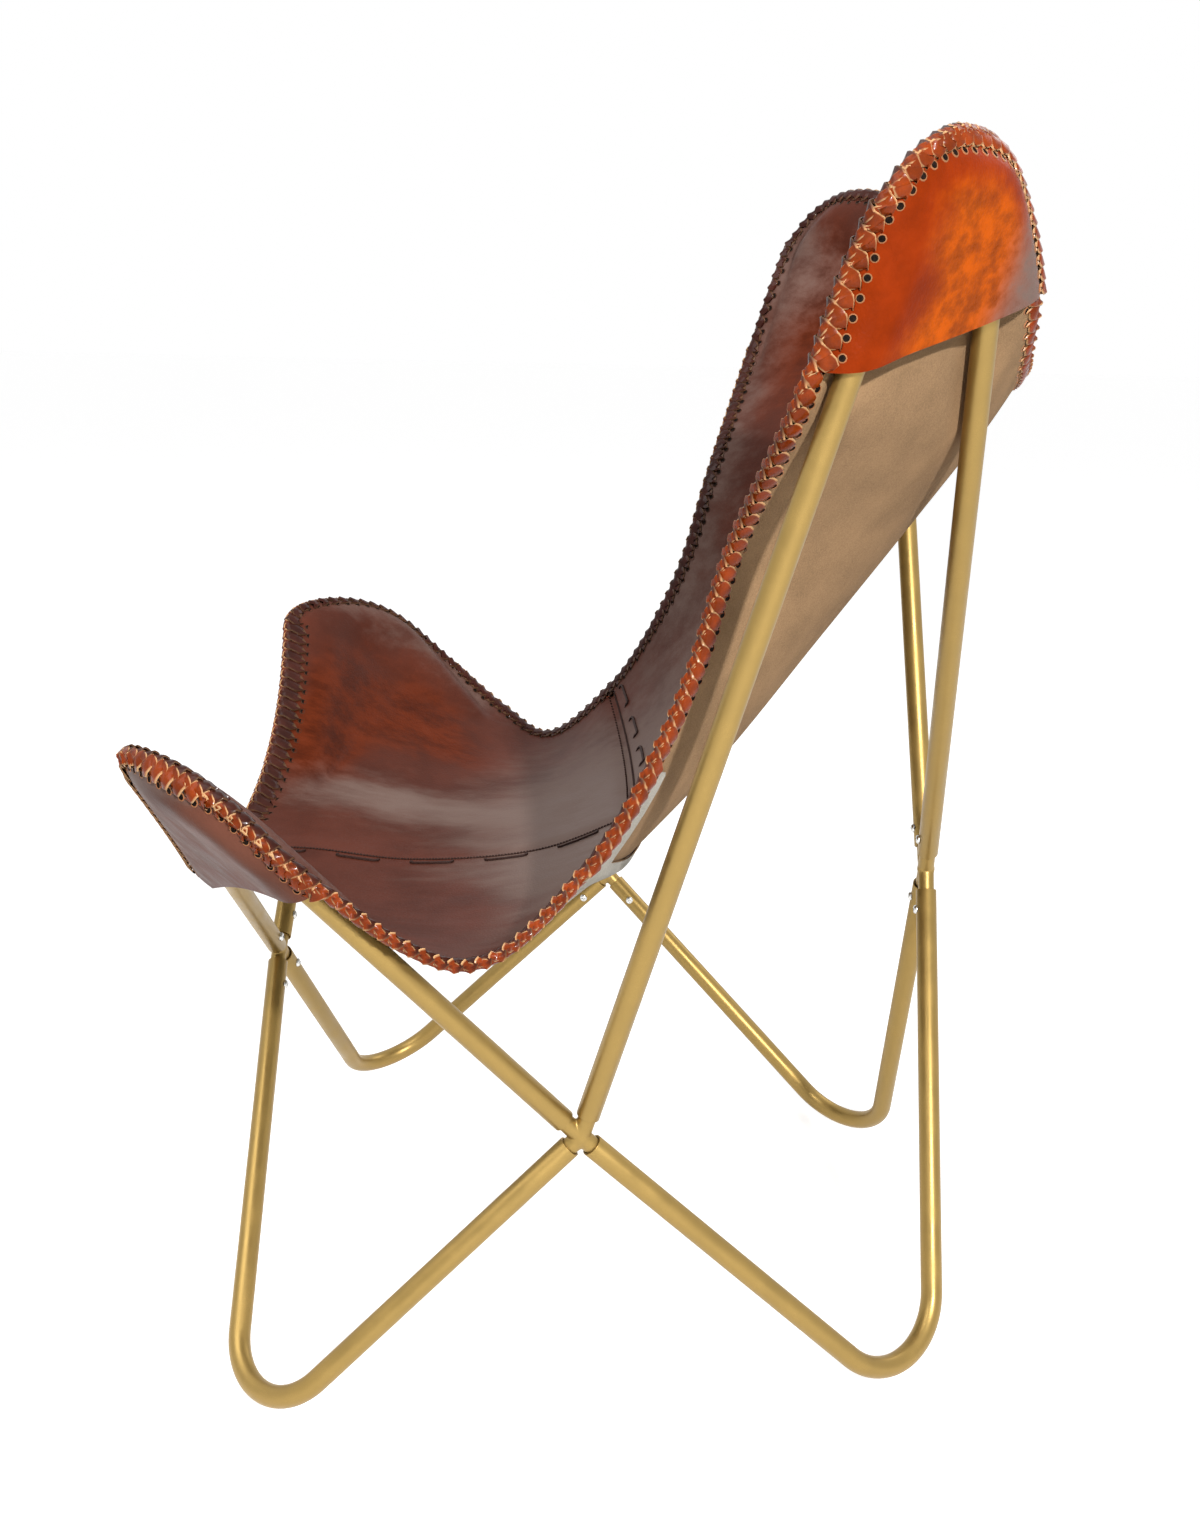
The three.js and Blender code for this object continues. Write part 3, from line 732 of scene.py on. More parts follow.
def make_nap_group():
    """Suede nap: short fibres that lean in patches."""
    group, start, end = new_group("Suede Nap", {"Fibre Scale": 1100.0}, ["Height", "Shade"])
    place = object_coordinates(group)
    fibre = noise(group, place, start["Fibre Scale"], 3.0, 0.7)
    patch = math_node(group, "MULTIPLY", noise(group, place, 26.0, 4.0, 0.6), 0.45)
    shade = math_node(group, "ADD", math_node(group, "MULTIPLY", fibre, 0.55), patch)
    feed(group, end, {"Height": fibre, "Shade": shade})


def new_material(name, roughness, specular=0.5, metallic=0.0):
    material = bpy.data.materials.new(name)
    material.use_nodes = True
    tree = material.node_tree
    shader = tree.nodes["Principled BSDF"]
    feed(tree, shader, {"Roughness": roughness, "Specular IOR Level": specular, "Metallic": metallic})
    return tree, shader


def leather_material(name, colour, rub_colour, painted_sheen_colour, roughness, specular, mottle_scale):
    """Waxed leather with the rub colour where the piece is burnished, and a painted grey sheen that stands in
    for reflected light.
    """
    tree, shader = new_material(name, roughness, specular)
    grain = place_group(tree, "Leather Grain", {"Grain Scale": 620.0, "Mottle Scale": mottle_scale})
    mottle = grain["Mottle"]
    streak = grain["Streak"]
    mottled = toned(tree, mottle, 0.3, 0.7, colour, 0.78, 1.25)
    rubbed = toned(tree, streak, 0.32, 0.68, rub_colour, 0.55, 1.15)
    cloud = math_node(tree, "ADD", read_attribute(tree, "burnish"), remap(tree, mottle, 0.2, 0.8, -0.3, 0.3))
    burnished = mix_colour(tree, remap(tree, cloud, 0.2, 0.95), mottled, rubbed)
    # Painted sheen: grey mixed into the base colour where the leather would show reflected light
    painted_sheen_mask = math_node(tree, "ADD", read_attribute(tree, "painted_sheen"), remap(tree, streak, 0.25, 0.75, -0.18, 0.18))
    feed(tree, shader, {
        "Base Color": mix_colour(tree, remap(tree, painted_sheen_mask, 0.1, 1.0), burnished, painted_sheen_colour),
        "Roughness": remap(tree, streak, 0.25, 0.75, roughness - 0.07, roughness + 0.09),
        "Normal": bumped(tree, grain["Height"], 0.32, 0.0006),
    })


def suede_material(name, colour):
    tree, shader = new_material(name, roughness=0.93, specular=0.25)
    nap = place_group(tree, "Suede Nap", {"Fibre Scale": 900.0})
    feed(tree, shader, {
        "Base Color": toned(tree, nap["Shade"], 0.3, 0.7, colour, 0.72, 1.22),
        "Normal": bumped(tree, nap["Height"], 0.6, 0.0008),
    })


def thong_material(settings):
    """Polished thong: darker inside the sling, paler along its cut edges."""
    tree, shader = new_material("polished_thong", roughness=0.26, specular=0.08)
    grain = place_group(tree, "Leather Grain", {"Grain Scale": 900.0, "Mottle Scale": 60.0})
    inside = read_attribute(tree, "inner_side")
    sides = mix_colour(tree, remap(tree, inside, 0.46, 0.7), settings.outer_colour, settings.inner_colour)
    mottled = toned(tree, grain["Mottle"], 0.3, 0.75, (1.0, 1.0, 1.0), 0.5, 1.0)
    stained = mix_colour(tree, 1.0, sides, mottled, "MULTIPLY")
    cut = remap(tree, read_attribute(tree, "thong_edge"), 0.75, 1.0, 0.0, 0.75)
    edges = math_node(tree, "MULTIPLY", cut, remap(tree, inside, 0.44, 0.66, 1.0, 0.12))
    feed(tree, shader, {
        "Base Color": mix_colour(tree, edges, stained, settings.cut_colour),
        "Roughness": remap(tree, grain["Streak"], 0.3, 0.7, 0.2, 0.36),
        "Coat Weight": 0.08,
        "Coat Roughness": 0.1,
        "Normal": bumped(tree, grain["Height"], 0.2, 0.0004),
    })


def paint_material(colour):
    """Gold metallic paint with a fine orange peel and rubbed patches."""
    tree, shader = new_material("gold_paint", roughness=0.38, metallic=0.72)
    place = object_coordinates(tree)
    patch = noise(tree, place, 38.0, 4.0, 0.6)
    flake = remap(tree, noise(tree, place, 2600.0, 2.0), 0.42, 0.66)
    base = toned(tree, patch, 0.3, 0.72, colour, 0.84, 1.1)
    feed(tree, shader, {
        "Base Color": mix_colour(tree, flake, scaled(colour, 0.9), base),
        "Roughness": remap(tree, patch, 0.25, 0.75, 0.32, 0.46),
        "Normal": bumped(tree, noise(tree, place, 520.0, 2.0), 0.12, 0.0004),
    })


def steel_material(colour):
    tree, shader = new_material("plated_screw", roughness=0.22, metallic=1.0)
    turned = noise(tree, object_coordinates(tree), 900.0)
    feed(tree, shader, {
        "Base Color": toned(tree, turned, 0.3, 0.7, colour, 0.8, 1.1),
        "Roughness": remap(tree, turned, 0.3, 0.7, 0.16, 0.3),
    })


def flecked_material(name, roughness, specular, scale, bump, dark, pale):
    """Dark thread, or the painted shade of a hole, with fine flecks, which stand out if there is a bump."""
    tree, shader = new_material(name, roughness, specular)
    fleck = noise(tree, object_coordinates(tree), scale, 2.0)
    feed(tree, shader, {"Base Color": mix_colour(tree, remap(tree, fleck, 0.3, 0.7), dark, pale)})
    if bump:
        feed(tree, shader, {"Normal": bumped(tree, fleck, bump, 0.0003)})


class CHAIR_OT_finishes(Operator):
    """Make the node groups and the materials of the chair"""

    bl_idname = "chair.finishes"
    bl_label = "Finishes"

    def execute(self, context):
        sling = context.scene.chair_sling
        make_grain_group()
        make_nap_group()
        paint_material(context.scene.chair_frame.paint_colour)
        steel_material(context.scene.chair_frame.steel_colour)
        for name, colour, rub_colour, roughness, specular, mottle_scale in (
            ("brown_leather", sling.leather_colour, sling.burnish_colour, 0.4, 0.06, 13.0),
            ("tan_leather", sling.tan_edge_colour, sling.tan_colour, 0.33, 0.03, 21.0),
            ("dark_leather", sling.dark_colour, sling.burnish_colour, 0.42, 0.05, 13.0),
        ):
            leather_material(name, colour, rub_colour, sling.painted_sheen_colour, roughness, specular, mottle_scale)
        suede_material("back_suede", sling.suede_colour)
        suede_material("seat_reverse", sling.lining_colour)
        suede_material("cut_edge", scaled(sling.suede_colour, 0.8))
        thong_material(context.scene.chair_lacing)
        flecked_material("waxed_thread", roughness=0.5, specular=0.1, scale=1400.0, bump=0.4,
                         dark=(0.016, 0.007, 0.006), pale=(0.05, 0.022, 0.016))
        # The hole discs are painted near black: painted shade where a hole would be open
        flecked_material("painted_hole_shade", roughness=0.8, specular=0.05, scale=700.0, bump=0.0,
                         dark=(0.006, 0.004, 0.003), pale=(0.02, 0.012, 0.009))
        return {"FINISHED"}


# Frame pieces


def facing(direction):
    return Vector(direction).to_track_quat("Z", "Y")


def extrude(direction):
    value = tuple(float(part) for part in direction)
    bpy.ops.mesh.extrude_region_move(TRANSFORM_OT_translate={"value": value})


class CHAIR_OT_tubes(Operator):
    """Extrude, bend and wall the eight tubes of the frame"""

    bl_idname = "chair.tubes"
    bl_label = "Bent tubes"

    def execute(self, context):
        settings = context.scene.chair_frame
        radius = settings.tube_diameter / 2
        tubes, crosses = frame_layout(radius / MM)
        for tube in tubes:
            bend = tube["bend"]
            gaps = [end_gap(end, crosses, radius / MM) for end in tube["ends"]]
            tangent = BEND_RADIUS / math.tan(bend.half)
            run_a = np.linalg.norm(bend.cross_a - bend.corner) - gaps[0] - tangent
            run_b = np.linalg.norm(bend.cross_b - bend.corner) - gaps[1] - tangent
            deselect()
            bpy.ops.mesh.primitive_circle_add(
                vertices=TUBE_SIDES, radius=radius, fill_type="NOTHING",
                location=in_metres(bend.cross_a - bend.to_a * gaps[0]), rotation=facing(bend.to_a).to_euler())
            piece = settled(f"tube_{tube['name']}")
            edit_all(piece)
            extrude(-bend.to_a * run_a * MM)
            bpy.ops.mesh.spin(steps=BEND_STEPS, angle=math.pi - 2 * bend.half, center=in_metres(bend.centre),
                              axis=tuple(bend.normal))
            extrude(bend.to_b * run_b * MM)
            bpy.ops.mesh.select_all(action="SELECT")
            bpy.ops.mesh.remove_doubles(threshold=1e-6)
            bpy.ops.mesh.normals_make_consistent(inside=False)
            apply_modifier(piece, "SOLIDIFY", thickness=settings.tube_wall, offset=-1.0)
            if "foot" in tube["name"]:
                edit_all(piece)
                bpy.ops.mesh.bisect(plane_co=(0, 0, 0), plane_no=(0, 0, 1), clear_inner=True, use_fill=True)
            apply_modifier(piece, "BEVEL", width=0.0003, segments=2, limit_method="ANGLE",
                           angle_limit=math.radians(60))
            smooth_faces(piece, 40)
            dress(piece, ["gold_paint"], "frame_paint", f"{tube['name']}_tube")
        return {"FINISHED"}


class CHAIR_OT_crosses(Operator):
    """Weld the four cross pieces of thinner tube"""

    bl_idname = "chair.crosses"
    bl_label = "Cross pieces"

    def execute(self, context):
        settings = context.scene.chair_frame
        crosses = frame_layout(settings.tube_diameter / 2 / MM)[1]
        for name, cross in crosses.items():
            deselect()
            arms = []
            for arm in cross["arms"]:
                bpy.ops.mesh.primitive_cylinder_add(
                    vertices=32, radius=settings.spigot_diameter / 2, depth=SPIGOT_REACH * MM,
                    location=in_metres(cross["centre"] + arm * SPIGOT_REACH / 2),
                    rotation=facing(arm).to_euler())
                arms.append(context.object)
            bpy.ops.mesh.primitive_uv_sphere_add(
                segments=24, ring_count=16, radius=settings.spigot_diameter * 0.56,
                location=in_metres(cross["centre"]))
            arms.append(context.object)
            select_only(arms[0])
            for arm in arms:
                arm.select_set(True)
            bpy.ops.object.join()
            piece = settled(f"welded_{name}")
            apply_modifier(piece, "REMESH", mode="VOXEL", voxel_size=0.0009)
            apply_modifier(piece, "SMOOTH", factor=0.5, iterations=6)
            smooth_faces(piece, 60)
            dress(piece, ["gold_paint"], "frame_paint", name)
        return {"FINISHED"}


class CHAIR_OT_screws(Operator):
    """Turn one pan-head screw with a cross recess and copy it to every tube end"""

    bl_idname = "chair.screws"
    bl_label = "Screws"

    def execute(self, context):
        settings = context.scene.chair_frame
        tube_radius = settings.tube_diameter / 2 / MM
        radius = settings.screw_head / 2
        head = radius * HEAD_HEIGHT
        deselect()
        bpy.ops.mesh.primitive_cylinder_add(vertices=32, radius=radius, depth=head, location=(0, 0, head / 2))
        pattern = settled("pattern")
        bpy.ops.object.mode_set(mode="EDIT")
        bpy.ops.mesh.select_all(action="DESELECT")
        leave_edit()
        for edge in pattern.data.edges:
            edge.select = all(pattern.data.vertices[i].co.z > head * 0.9 for i in edge.vertices)
        bpy.ops.object.mode_set(mode="EDIT")
        bpy.ops.mesh.select_mode(type="EDGE")
        bpy.ops.mesh.bevel(offset=head * HEAD_ROUND, segments=5, affect="EDGES")
        for turn in (0.0, math.pi / 2):
            deselect()
            bpy.ops.mesh.primitive_cube_add(size=1.0, location=(0, 0, head), rotation=(0, 0, turn))
            context.object.scale = (radius * RECESS_LENGTH, radius * RECESS_WIDTH, head * RECESS_DEPTH)
            recess = settled("recess")
            apply_modifier(pattern, "BOOLEAN", object=recess, operation="DIFFERENCE", solver="EXACT")
            bpy.data.objects.remove(recess)
        smooth_faces(pattern, 35)
        for tube in frame_layout(tube_radius)[0]:
            for end in tube["ends"]:
                piece = pattern.copy()
                piece.data = pattern.data.copy()
                piece.name = f"panhead_{tube['name']}_{end['label']}"
                context.scene.collection.objects.link(piece)
                seat = in_metres(end["base"] + end["outward"] * (tube_radius - SCREW_SINK))
                turn = facing(end["outward"]).to_matrix().to_4x4()
                piece.data.transform(Matrix.Translation(Vector(seat)) @ turn)
                dress(piece, ["plated_screw"], "screw_steel", f"screw_{tube['name']}_{end['label']}")
        bpy.data.objects.remove(pattern)
        return {"FINISHED"}


# Leather pieces


def spot(u, v, at_u, at_v, wide_u, wide_v):
    return np.exp(-(((np.abs(u) - at_u) / wide_u) ** 2) - ((v - at_v) / wide_v) ** 2)


def panel_burnish(u, v):
    """Where the wax is rubbed through on the panels: the front corners, the flanks and the upper back."""
    return np.clip(
        0.9 * spot(u, v, 0.72, 0.06, 0.2, 0.055)
        + spot(u, v, 0.74, 0.165, 0.15, 0.05)
        + 0.9 * spot(u, v, 0.5, 0.055, 0.13, 0.055)
        + spot(u, v, 0.86, 0.895, 0.12, 0.055)
        + 0.6 * spot(u, v, 0.75, 0.79, 0.32, 0.11), 0, 1)


def panel_painted_sheen(u, v):
    """Where a grey sheen is painted into the colour, standing in for reflected light: the hollow of the seat,
    the low back and along the laced edges.
    """
    near_edge = smooth((np.abs(u) - 0.86) / 0.12)
    return np.clip(
        spot(u, v, 0.2, 0.34, 0.65, 0.11)
        + 0.8 * spot(u, v, 0.36, 0.15, 0.1, 0.12) * smooth(0.5 - 4 * u)
        + 0.4 * spot(u, v, 0.86, 0.9, 0.12, 0.05)
        + 0.45 * near_edge * (1 - smooth((v - 0.16) / 0.1))
        + 0.4 * near_edge * smooth((v - 0.45) / 0.1)
        + 0.95 * spot(u, v, 0.45, 0.56, 0.5, 0.14)
        - 0.7 * spot(u, v, 0.45, 0.2, 0.28, 0.09) * smooth(4 * u - 0.4), 0, 1)


def set_wear_and_painted_sheen(piece, burnish, painted_sheen):
    # Burnish is rubbed wear of the leather; the second attribute holds a painted grey sheen
    for name, values in (("burnish", burnish), ("painted_sheen", painted_sheen)):
        set_attribute(piece, name, np.tile(values.ravel(), 2))


def seat_lap(u):
    """How far the seat runs up behind the back, as a share of the length; most along the laced sides."""
    strip = smooth((np.abs(u) - SIDE_STRIP_START) / (SIDE_STRIP_END - SIDE_STRIP_START))
    return SEAT_TUCK / SLING_LENGTH + SIDE_STRIP * strip


def seat_rows(u):
    panel = lerp(front_edge(u)[:, None], WAIST, np.linspace(0, 1, SEAT_ROWS + 1))
    lap = WAIST + seat_lap(u)[:, None] * np.linspace(0, 1, LAP_ROWS + 1)[1:]
    return np.concatenate([panel, lap], axis=1)


class CHAIR_OT_panels(Operator):
    """Lay the back panel and the two seat halves of the sling"""

    bl_idname = "chair.panels"
    bl_label = "Sling panels"

    def execute(self, context):
        thickness = context.scene.chair_sling.leather_thickness / MM
        layer = thickness + LEATHER_GAP
        u = columns_between(-EDGE_U, EDGE_U, BACK_COLUMNS)
        shares = 1 - (1 - np.linspace(0, 1, BACK_ROWS + 1)) ** BACK_ROW_EASE
        v = lerp(WAIST + 2 * STEP, top_edge(u)[:, None], shares)
        u = u[:, None] + np.zeros_like(v)
        rear_tubes = [f"tube_rear_peak_{side_name}" for side_name in SIDES]
        self.lay("back_leather", "back_panel", "back_suede", u, v, thickness, np.zeros_like(v), rear_tubes)
        for side_name, sign in SIDES.items():
            u = columns_between(0, EDGE_U, HALF_COLUMNS)
            if sign < 0:
                u = np.concatenate([-u[::-1], [CENTRE_LAP_U / 2, CENTRE_LAP_U]])
            v = seat_rows(u)
            u = u[:, None] + np.zeros_like(v)
            under_back = layer * smooth((v - WAIST + LAP) / LAP)
            under_left = layer * smooth((u + CENTRE_LAP_U) / CENTRE_LAP_U) if sign < 0 else 0.0
            skived = thickness * lerp(1.0, SKIVED, smooth((v - WAIST) * SLING_LENGTH / SEAT_TUCK))
            offset = (thickness - skived) / 2 - under_back - under_left
            rests_on = [f"tube_front_peak_{side_name}", "back_leather"]
            self.lay(f"seat_leather_{side_name}", f"seat_panel_{side_name}", "seat_reverse",
                     u, v, skived, offset, rests_on)
        return {"FINISHED"}

    def lay(self, name, node, reverse, u, v, thickness, offset, rests_on):
        piece, middle = leather_sheet(name, sling_point, u, v, thickness, offset)
        set_wear_and_painted_sheen(piece, panel_burnish(u, v), panel_painted_sheen(u, v))
        dress(piece, ["brown_leather", reverse, "cut_edge"], "sling_leather", node)


class CHAIR_OT_pockets(Operator):
    """Wrap the four pocket flaps behind the tube bends"""

    bl_idname = "chair.pockets"
    bl_label = "Pocket flaps"

    def execute(self, context):
        pocket = context.scene.chair_sling.pocket_thickness / MM
        rear_flap, front_flap = flap_surfaces(context.scene)
        for end, surface, edge_at, hem, inner, colour in (
            ("rear", rear_flap, top_edge, rear_hem, REAR_FLAP_INNER, "tan"),
            ("front", front_flap, front_edge, front_hem, FRONT_FLAP_INNER, "dark"),
        ):
            for side_name, sign in SIDES.items():
                u = columns_between(inner, EDGE_U, HALF_COLUMNS)
                v = lerp(hem(u)[:, None], edge_at(u)[:, None], np.linspace(0, 1, FLAP_ROWS + 1))
                u = (u[:, None] + np.zeros_like(v)) * sign
                name = f"flap_{end}_{side_name}"
                piece, middle = leather_sheet(name, surface, u, v, pocket, np.zeros_like(v))
                from_end = np.abs(v - edge_at(u)) * SLING_LENGTH
                rim = np.minimum((1 - np.abs(u)) * 300, from_end)
                if end == "rear":
                    # Rear flaps: burnish brightens the middle; the second value is a grey sheen painted
                    # towards the flap's inner end
                    set_wear_and_painted_sheen(piece, smooth(rim / 50), 0.85 * smooth((inner + 0.22 - np.abs(u)) / 0.14))
                else:
                    # Front flaps: burnish reddens the middle; the second value is a grey sheen painted along
                    # the front edge
                    set_wear_and_painted_sheen(piece, 0.5 * smooth((rim - 10) / 60), 0.8 * (1 - smooth((from_end - 6) / 34)))
                dress(piece, ["back_suede", f"{colour}_leather", "cut_edge"], f"pocket_{colour}",
                      f"{end}_pocket_{side_name}")
        return {"FINISHED"}


# Lacing


def edge_shares(sign):
    across = columns_between(0, EDGE_U, EDGE_COLUMNS)
    rows = lerp(front_edge(EDGE_U), top_edge(EDGE_U), np.linspace(0, 1, EDGE_ROWS)[1:-1])
    u = np.concatenate([across, np.full(len(rows), EDGE_U), across[::-1]])
    v = np.concatenate([front_edge(across), rows, top_edge(across[::-1])])
    if sign < 0:
        return -u[::-1], v[::-1]
    return u, v


def along(values, lengths, places):
    return np.stack([np.interp(places, lengths, column) for column in values.T], axis=-1)


def pocket_share(u, v):
    width = np.abs(u)
    rear = (v > rear_hem(u)) & (width > REAR_FLAP_INNER)
    front = (v < front_hem(u)) & (width > FRONT_FLAP_INNER)
    return rear, front


def inner_shares(u, v, outward, distance):
    """Shares of the points that lie a distance inside the edge."""
    along_u = (sling_point(u + STEP, v) - sling_point(u - STEP, v)) / (2 * STEP)
    along_v = (sling_point(u, v + STEP) - sling_point(u, np.maximum(v - STEP, 0))) / STEP / 2
    aim = -outward * distance
    uu = (along_u * along_u).sum(-1)
    vv = (along_v * along_v).sum(-1)
    uv = (along_u * along_v).sum(-1)
    au = (along_u * aim).sum(-1)
    av = (along_v * aim).sum(-1)
    det = uu * vv - uv * uv
    return u + (au * vv - av * uv) / det, v + (av * uu - au * uv) / det


def ribbon(line, radials, widths, thickness, tilt=0.0, sunk=0.0):
    """Closed flat strip along a line; also gives how near each point is to a cut edge."""
    places, heights = STRIP_PROFILE.T
    across = units(np.cross(np.gradient(line, axis=0), radials))
    lifts = heights * thickness + places * 2 * tilt - np.asarray(sunk)[..., None]
    points = (line[:, None] + across[:, None] * (places[:, None] * widths[:, None, None])
              + radials[:, None] * lifts[..., None])
    edge = np.tile(np.abs(places) * 2, len(line))
    return points.reshape(-1, 3), closed_rings(1, len(line), len(places)), edge


def joined_strips(name, strips):
    """One mesh of many flat strips, with its cut edges marked."""
    piece = joined(name, strips)
    set_attribute(piece, "thong_edge", np.concatenate([edge for _, _, edge in strips]))
    edit_all(piece)
    bpy.ops.mesh.normals_make_consistent(inside=False)
    smooth_faces(piece, 55)
    return piece


class CHAIR_OT_lacing(Operator):
    """Wind the flat thong round the edge of the sling and punch its holes"""

    bl_idname = "chair.lacing"
    bl_label = "Edge lacing"

    reach: length_setting("Reach", "From the edge to the holes", 0.0085)
    corner_reach: number_setting("Corner reach", "Share of the reach at the sides of the corners", 0.65)
    crest: length_setting("Crest", "How far a wrap stands out of the edge", 0.0024)
    rise: length_setting("Rise", "Height of a wrap over the leather", 0.0015)
    segments: IntProperty(name="Segments", description="Steps of one wrap", default=16)
    layers: IntProperty(name="Layers", description="Points of a face that a wrap follows", default=5)
    hole_place: number_setting("Hole place", "Place of the holes as a share of the reach", 1.1)

    def execute(self, context):
        for side_name, sign in SIDES.items():
            self.wind(context.scene, side_name, sign)
        return {"FINISHED"}

    def wind(self, scene, side_name, sign):
        settings = scene.chair_lacing
        leather = scene.chair_sling.leather_thickness / MM
        pocket = scene.chair_sling.pocket_thickness / MM
        width = settings.thong_width / MM
        thong = settings.thong_thickness / MM
        u, v = edge_shares(sign)
        edge = sling_point(u, v)
        lengths = arc_lengths(edge)
        wraps = int(round(lengths[-1] * MM / settings.pitch))
        pitch = lengths[-1] / wraps
        normal = surface_normal(sling_point, u, v)
        outward = units(np.cross(np.gradient(edge, axis=0), normal))
        at_ends = smooth((v - CORNER_REAR) / CORNER_FADE) + smooth((CORNER_FRONT - v) / CORNER_FADE)
        corner_side = smooth((np.abs(u) - CORNER_START) / CORNER_BLEND) * at_ends
        reach = self.reach / MM * lerp(1.0, self.corner_reach, corner_side)[:, None]
        lapped = (leather * SKIVED + LEATHER_GAP) * ((v > WAIST) & (v < WAIST + seat_lap(u)))
        flaps = flap_surfaces(scene)

        def faces_at(share):
            """Points of both faces at a share of the reach, and the way that the reverse faces there."""
            inside_u, inside_v = inner_shares(u, v, outward, reach * share)
            middle = sling_point(inside_u, inside_v)
            back = middle - normal * (leather / 2 + lapped)[:, None]
            back_normal = -normal
            for mask, flap in zip(pocket_share(inside_u, inside_v), flaps):
                flap_normal = surface_normal(flap, inside_u[mask], inside_v[mask])
                back[mask] = flap(inside_u[mask], inside_v[mask]) - flap_normal * pocket / 2
                back_normal[mask] = -flap_normal
            return middle + normal * leather / 2, back, back_normal

        paths = [faces_at(share) for share in np.linspace(0, 1, self.layers)]

        def on_path(kind, places, depth):
            place = depth * (self.layers - 1)
            low = np.minimum(place.astype(int), self.layers - 2)
            values = np.stack([along(path[kind], lengths, places) for path in paths])
            steps = np.arange(len(places))
            return lerp(values[low, steps], values[low + 1, steps], (place - low)[:, None])

        def follow(places, angle, lift):
            """Points of a wrap and the way out of the roll; the angle is zero on the crest."""
            places = np.clip(places, 0, lengths[-1])
            depth = np.abs(angle) / np.pi
            turned = smooth(depth / WRAP_TURN)[:, None]
            inner = (angle > 0)[:, None]
            out_now = along(outward, lengths, places)
            way = np.where(inner, along(normal, lengths, places), on_path(2, places, depth))
            middle = (along(paths[0][0], lengths, places) + along(paths[0][1], lengths, places)) / 2
            line = lerp(middle, np.where(inner, on_path(0, places, depth), on_path(1, places, depth)), turned)
            line = line + out_now * ((self.crest / MM + lift) * np.cos(depth * np.pi / 2))[:, None]
            line = line + way * turned * ((self.rise / MM + lift) * np.sin(depth * np.pi))[:, None]
            return line, units(lerp(out_now, way, turned))

        steps = np.arange(wraps * self.segments + 1)
        angle = ((steps / self.segments) % 1.0 - 0.5) * 2 * np.pi
        places = steps / self.segments * pitch
        lean = lerp(WRAP_LEAN, 0.0, np.interp(places, lengths, corner_side)) * pitch * np.sin(angle / 2)
        line, radial = follow(places + lean, angle, 0.0)
        narrow = smooth((np.abs(angle) - WRAP_NARROW_ANGLE) / (np.pi - WRAP_NARROW_ANGLE))
        widths = width * lerp(1.0, WRAP_NARROW, narrow)
        strips = [ribbon(line, radial, widths, thong, WRAP_TILT)]
        angles = [angle]

        angle = np.linspace(-CROSSING_ANGLE, CROSSING_ANGLE, CROSSING_POINTS)
        place = angle / CROSSING_ANGLE
        widths = width * CROSSING_WIDTH * (1 - CROSSING_TAPER * place ** 2)
        sunk = CROSSING_SINK * np.abs(place) ** 3
        for wrap in range(wraps):
            line, radial = follow((wrap + 0.5 - place * CROSSING_SPAN) * pitch, angle, CROSSING_LIFT)
            strips.append(ribbon(line, radial, widths, thong * CROSSING_THICKNESS, sunk=sunk))
            angles.append(angle)

        piece = joined_strips(f"thong_{side_name}", strips)
        inner_side = 0.5 + 0.5 * np.sin(np.concatenate(angles) / 2)
        set_attribute(piece, "inner_side", np.repeat(inner_side, len(STRIP_PROFILE)))
        dress(piece, ["polished_thong"], "thong", f"edge_lacing_{side_name}")

        places = (np.arange(wraps) + 0.5) * pitch
        hole_face, hole_back, hole_way = (along(kind, lengths, places) for kind in faces_at(self.hole_place))
        spots = np.concatenate([hole_face, hole_back])
        ways = np.concatenate([along(normal, lengths, places), hole_way])
        self.punch(f"holes_{side_name}", spots, ways, settings.hole_diameter / 2 / MM)

    def punch(self, name, spots, ways, radius):
        """Holes as discs with painted shade in them and a slightly raised lip, first those inside the sling
        and then those outside.
        """
        turns = np.linspace(0, 2 * np.pi, HOLE_SIDES, endpoint=False)[:, None]
        helper = np.where(np.abs(ways[:, 2:]) < 0.9, np.array([[0, 0, 1.0]]), np.array([[1.0, 0, 0]]))
        first = units(np.cross(ways, helper))
        ring = first[:, None] * np.cos(turns) + np.cross(ways, first)[:, None] * np.sin(turns)
        points = np.stack([spots[:, None] + ring * radius * size + ways[:, None] * height
                           for size, height in HOLE_RINGS], axis=1).reshape(-1, 3)
        quads, floors, _ = ring_faces(len(spots), len(HOLE_RINGS), HOLE_SIDES)
        piece = mesh_object(name, points, floors + [quad[::-1] for quad in quads])
        set_material_index(piece, len(floors), len(quads))
        set_attribute(piece, "inner_side", np.repeat([1.0, 0.0], len(points) // 2))
        set_attribute(piece, "thong_edge", np.full(len(points), 0.85))
        smooth_faces(piece, 40)
        dress(piece, ["painted_hole_shade", "polished_thong"], "thong")


# Stitching


def stitch_line(centres, tangents, normals, length, radius):
    """Points and faces of short sunk threads along a seam, all copied from one stitch."""
    places, heights, girths = STITCH_PROFILE.T[:, :, None]
    turns = np.linspace(0, 2 * np.pi, STITCH_SIDES, endpoint=False)
    lifts = (heights + girths * np.sin(turns)) * radius
    widths = girths * np.cos(turns) * radius
    sides = np.cross(tangents, normals)
    points = (centres[:, None, None] + tangents[:, None, None] * (places * length)[..., None]
              + normals[:, None, None] * lifts[..., None] + sides[:, None, None] * widths[..., None])
    return points.reshape(-1, 3), closed_rings(len(centres), len(places), STITCH_SIDES)


def seam_places(u, v, spacing, height):
    line = sling_point(u, v)
    lengths = arc_lengths(line)
    places = np.arange(spacing / 2, lengths[-1], spacing)
    normal = along(surface_normal(sling_point, u, v), lengths, places)
    tangent = units(along(np.gradient(line, axis=0), lengths, places))
    return along(line, lengths, places) + normal * height, tangent, normal


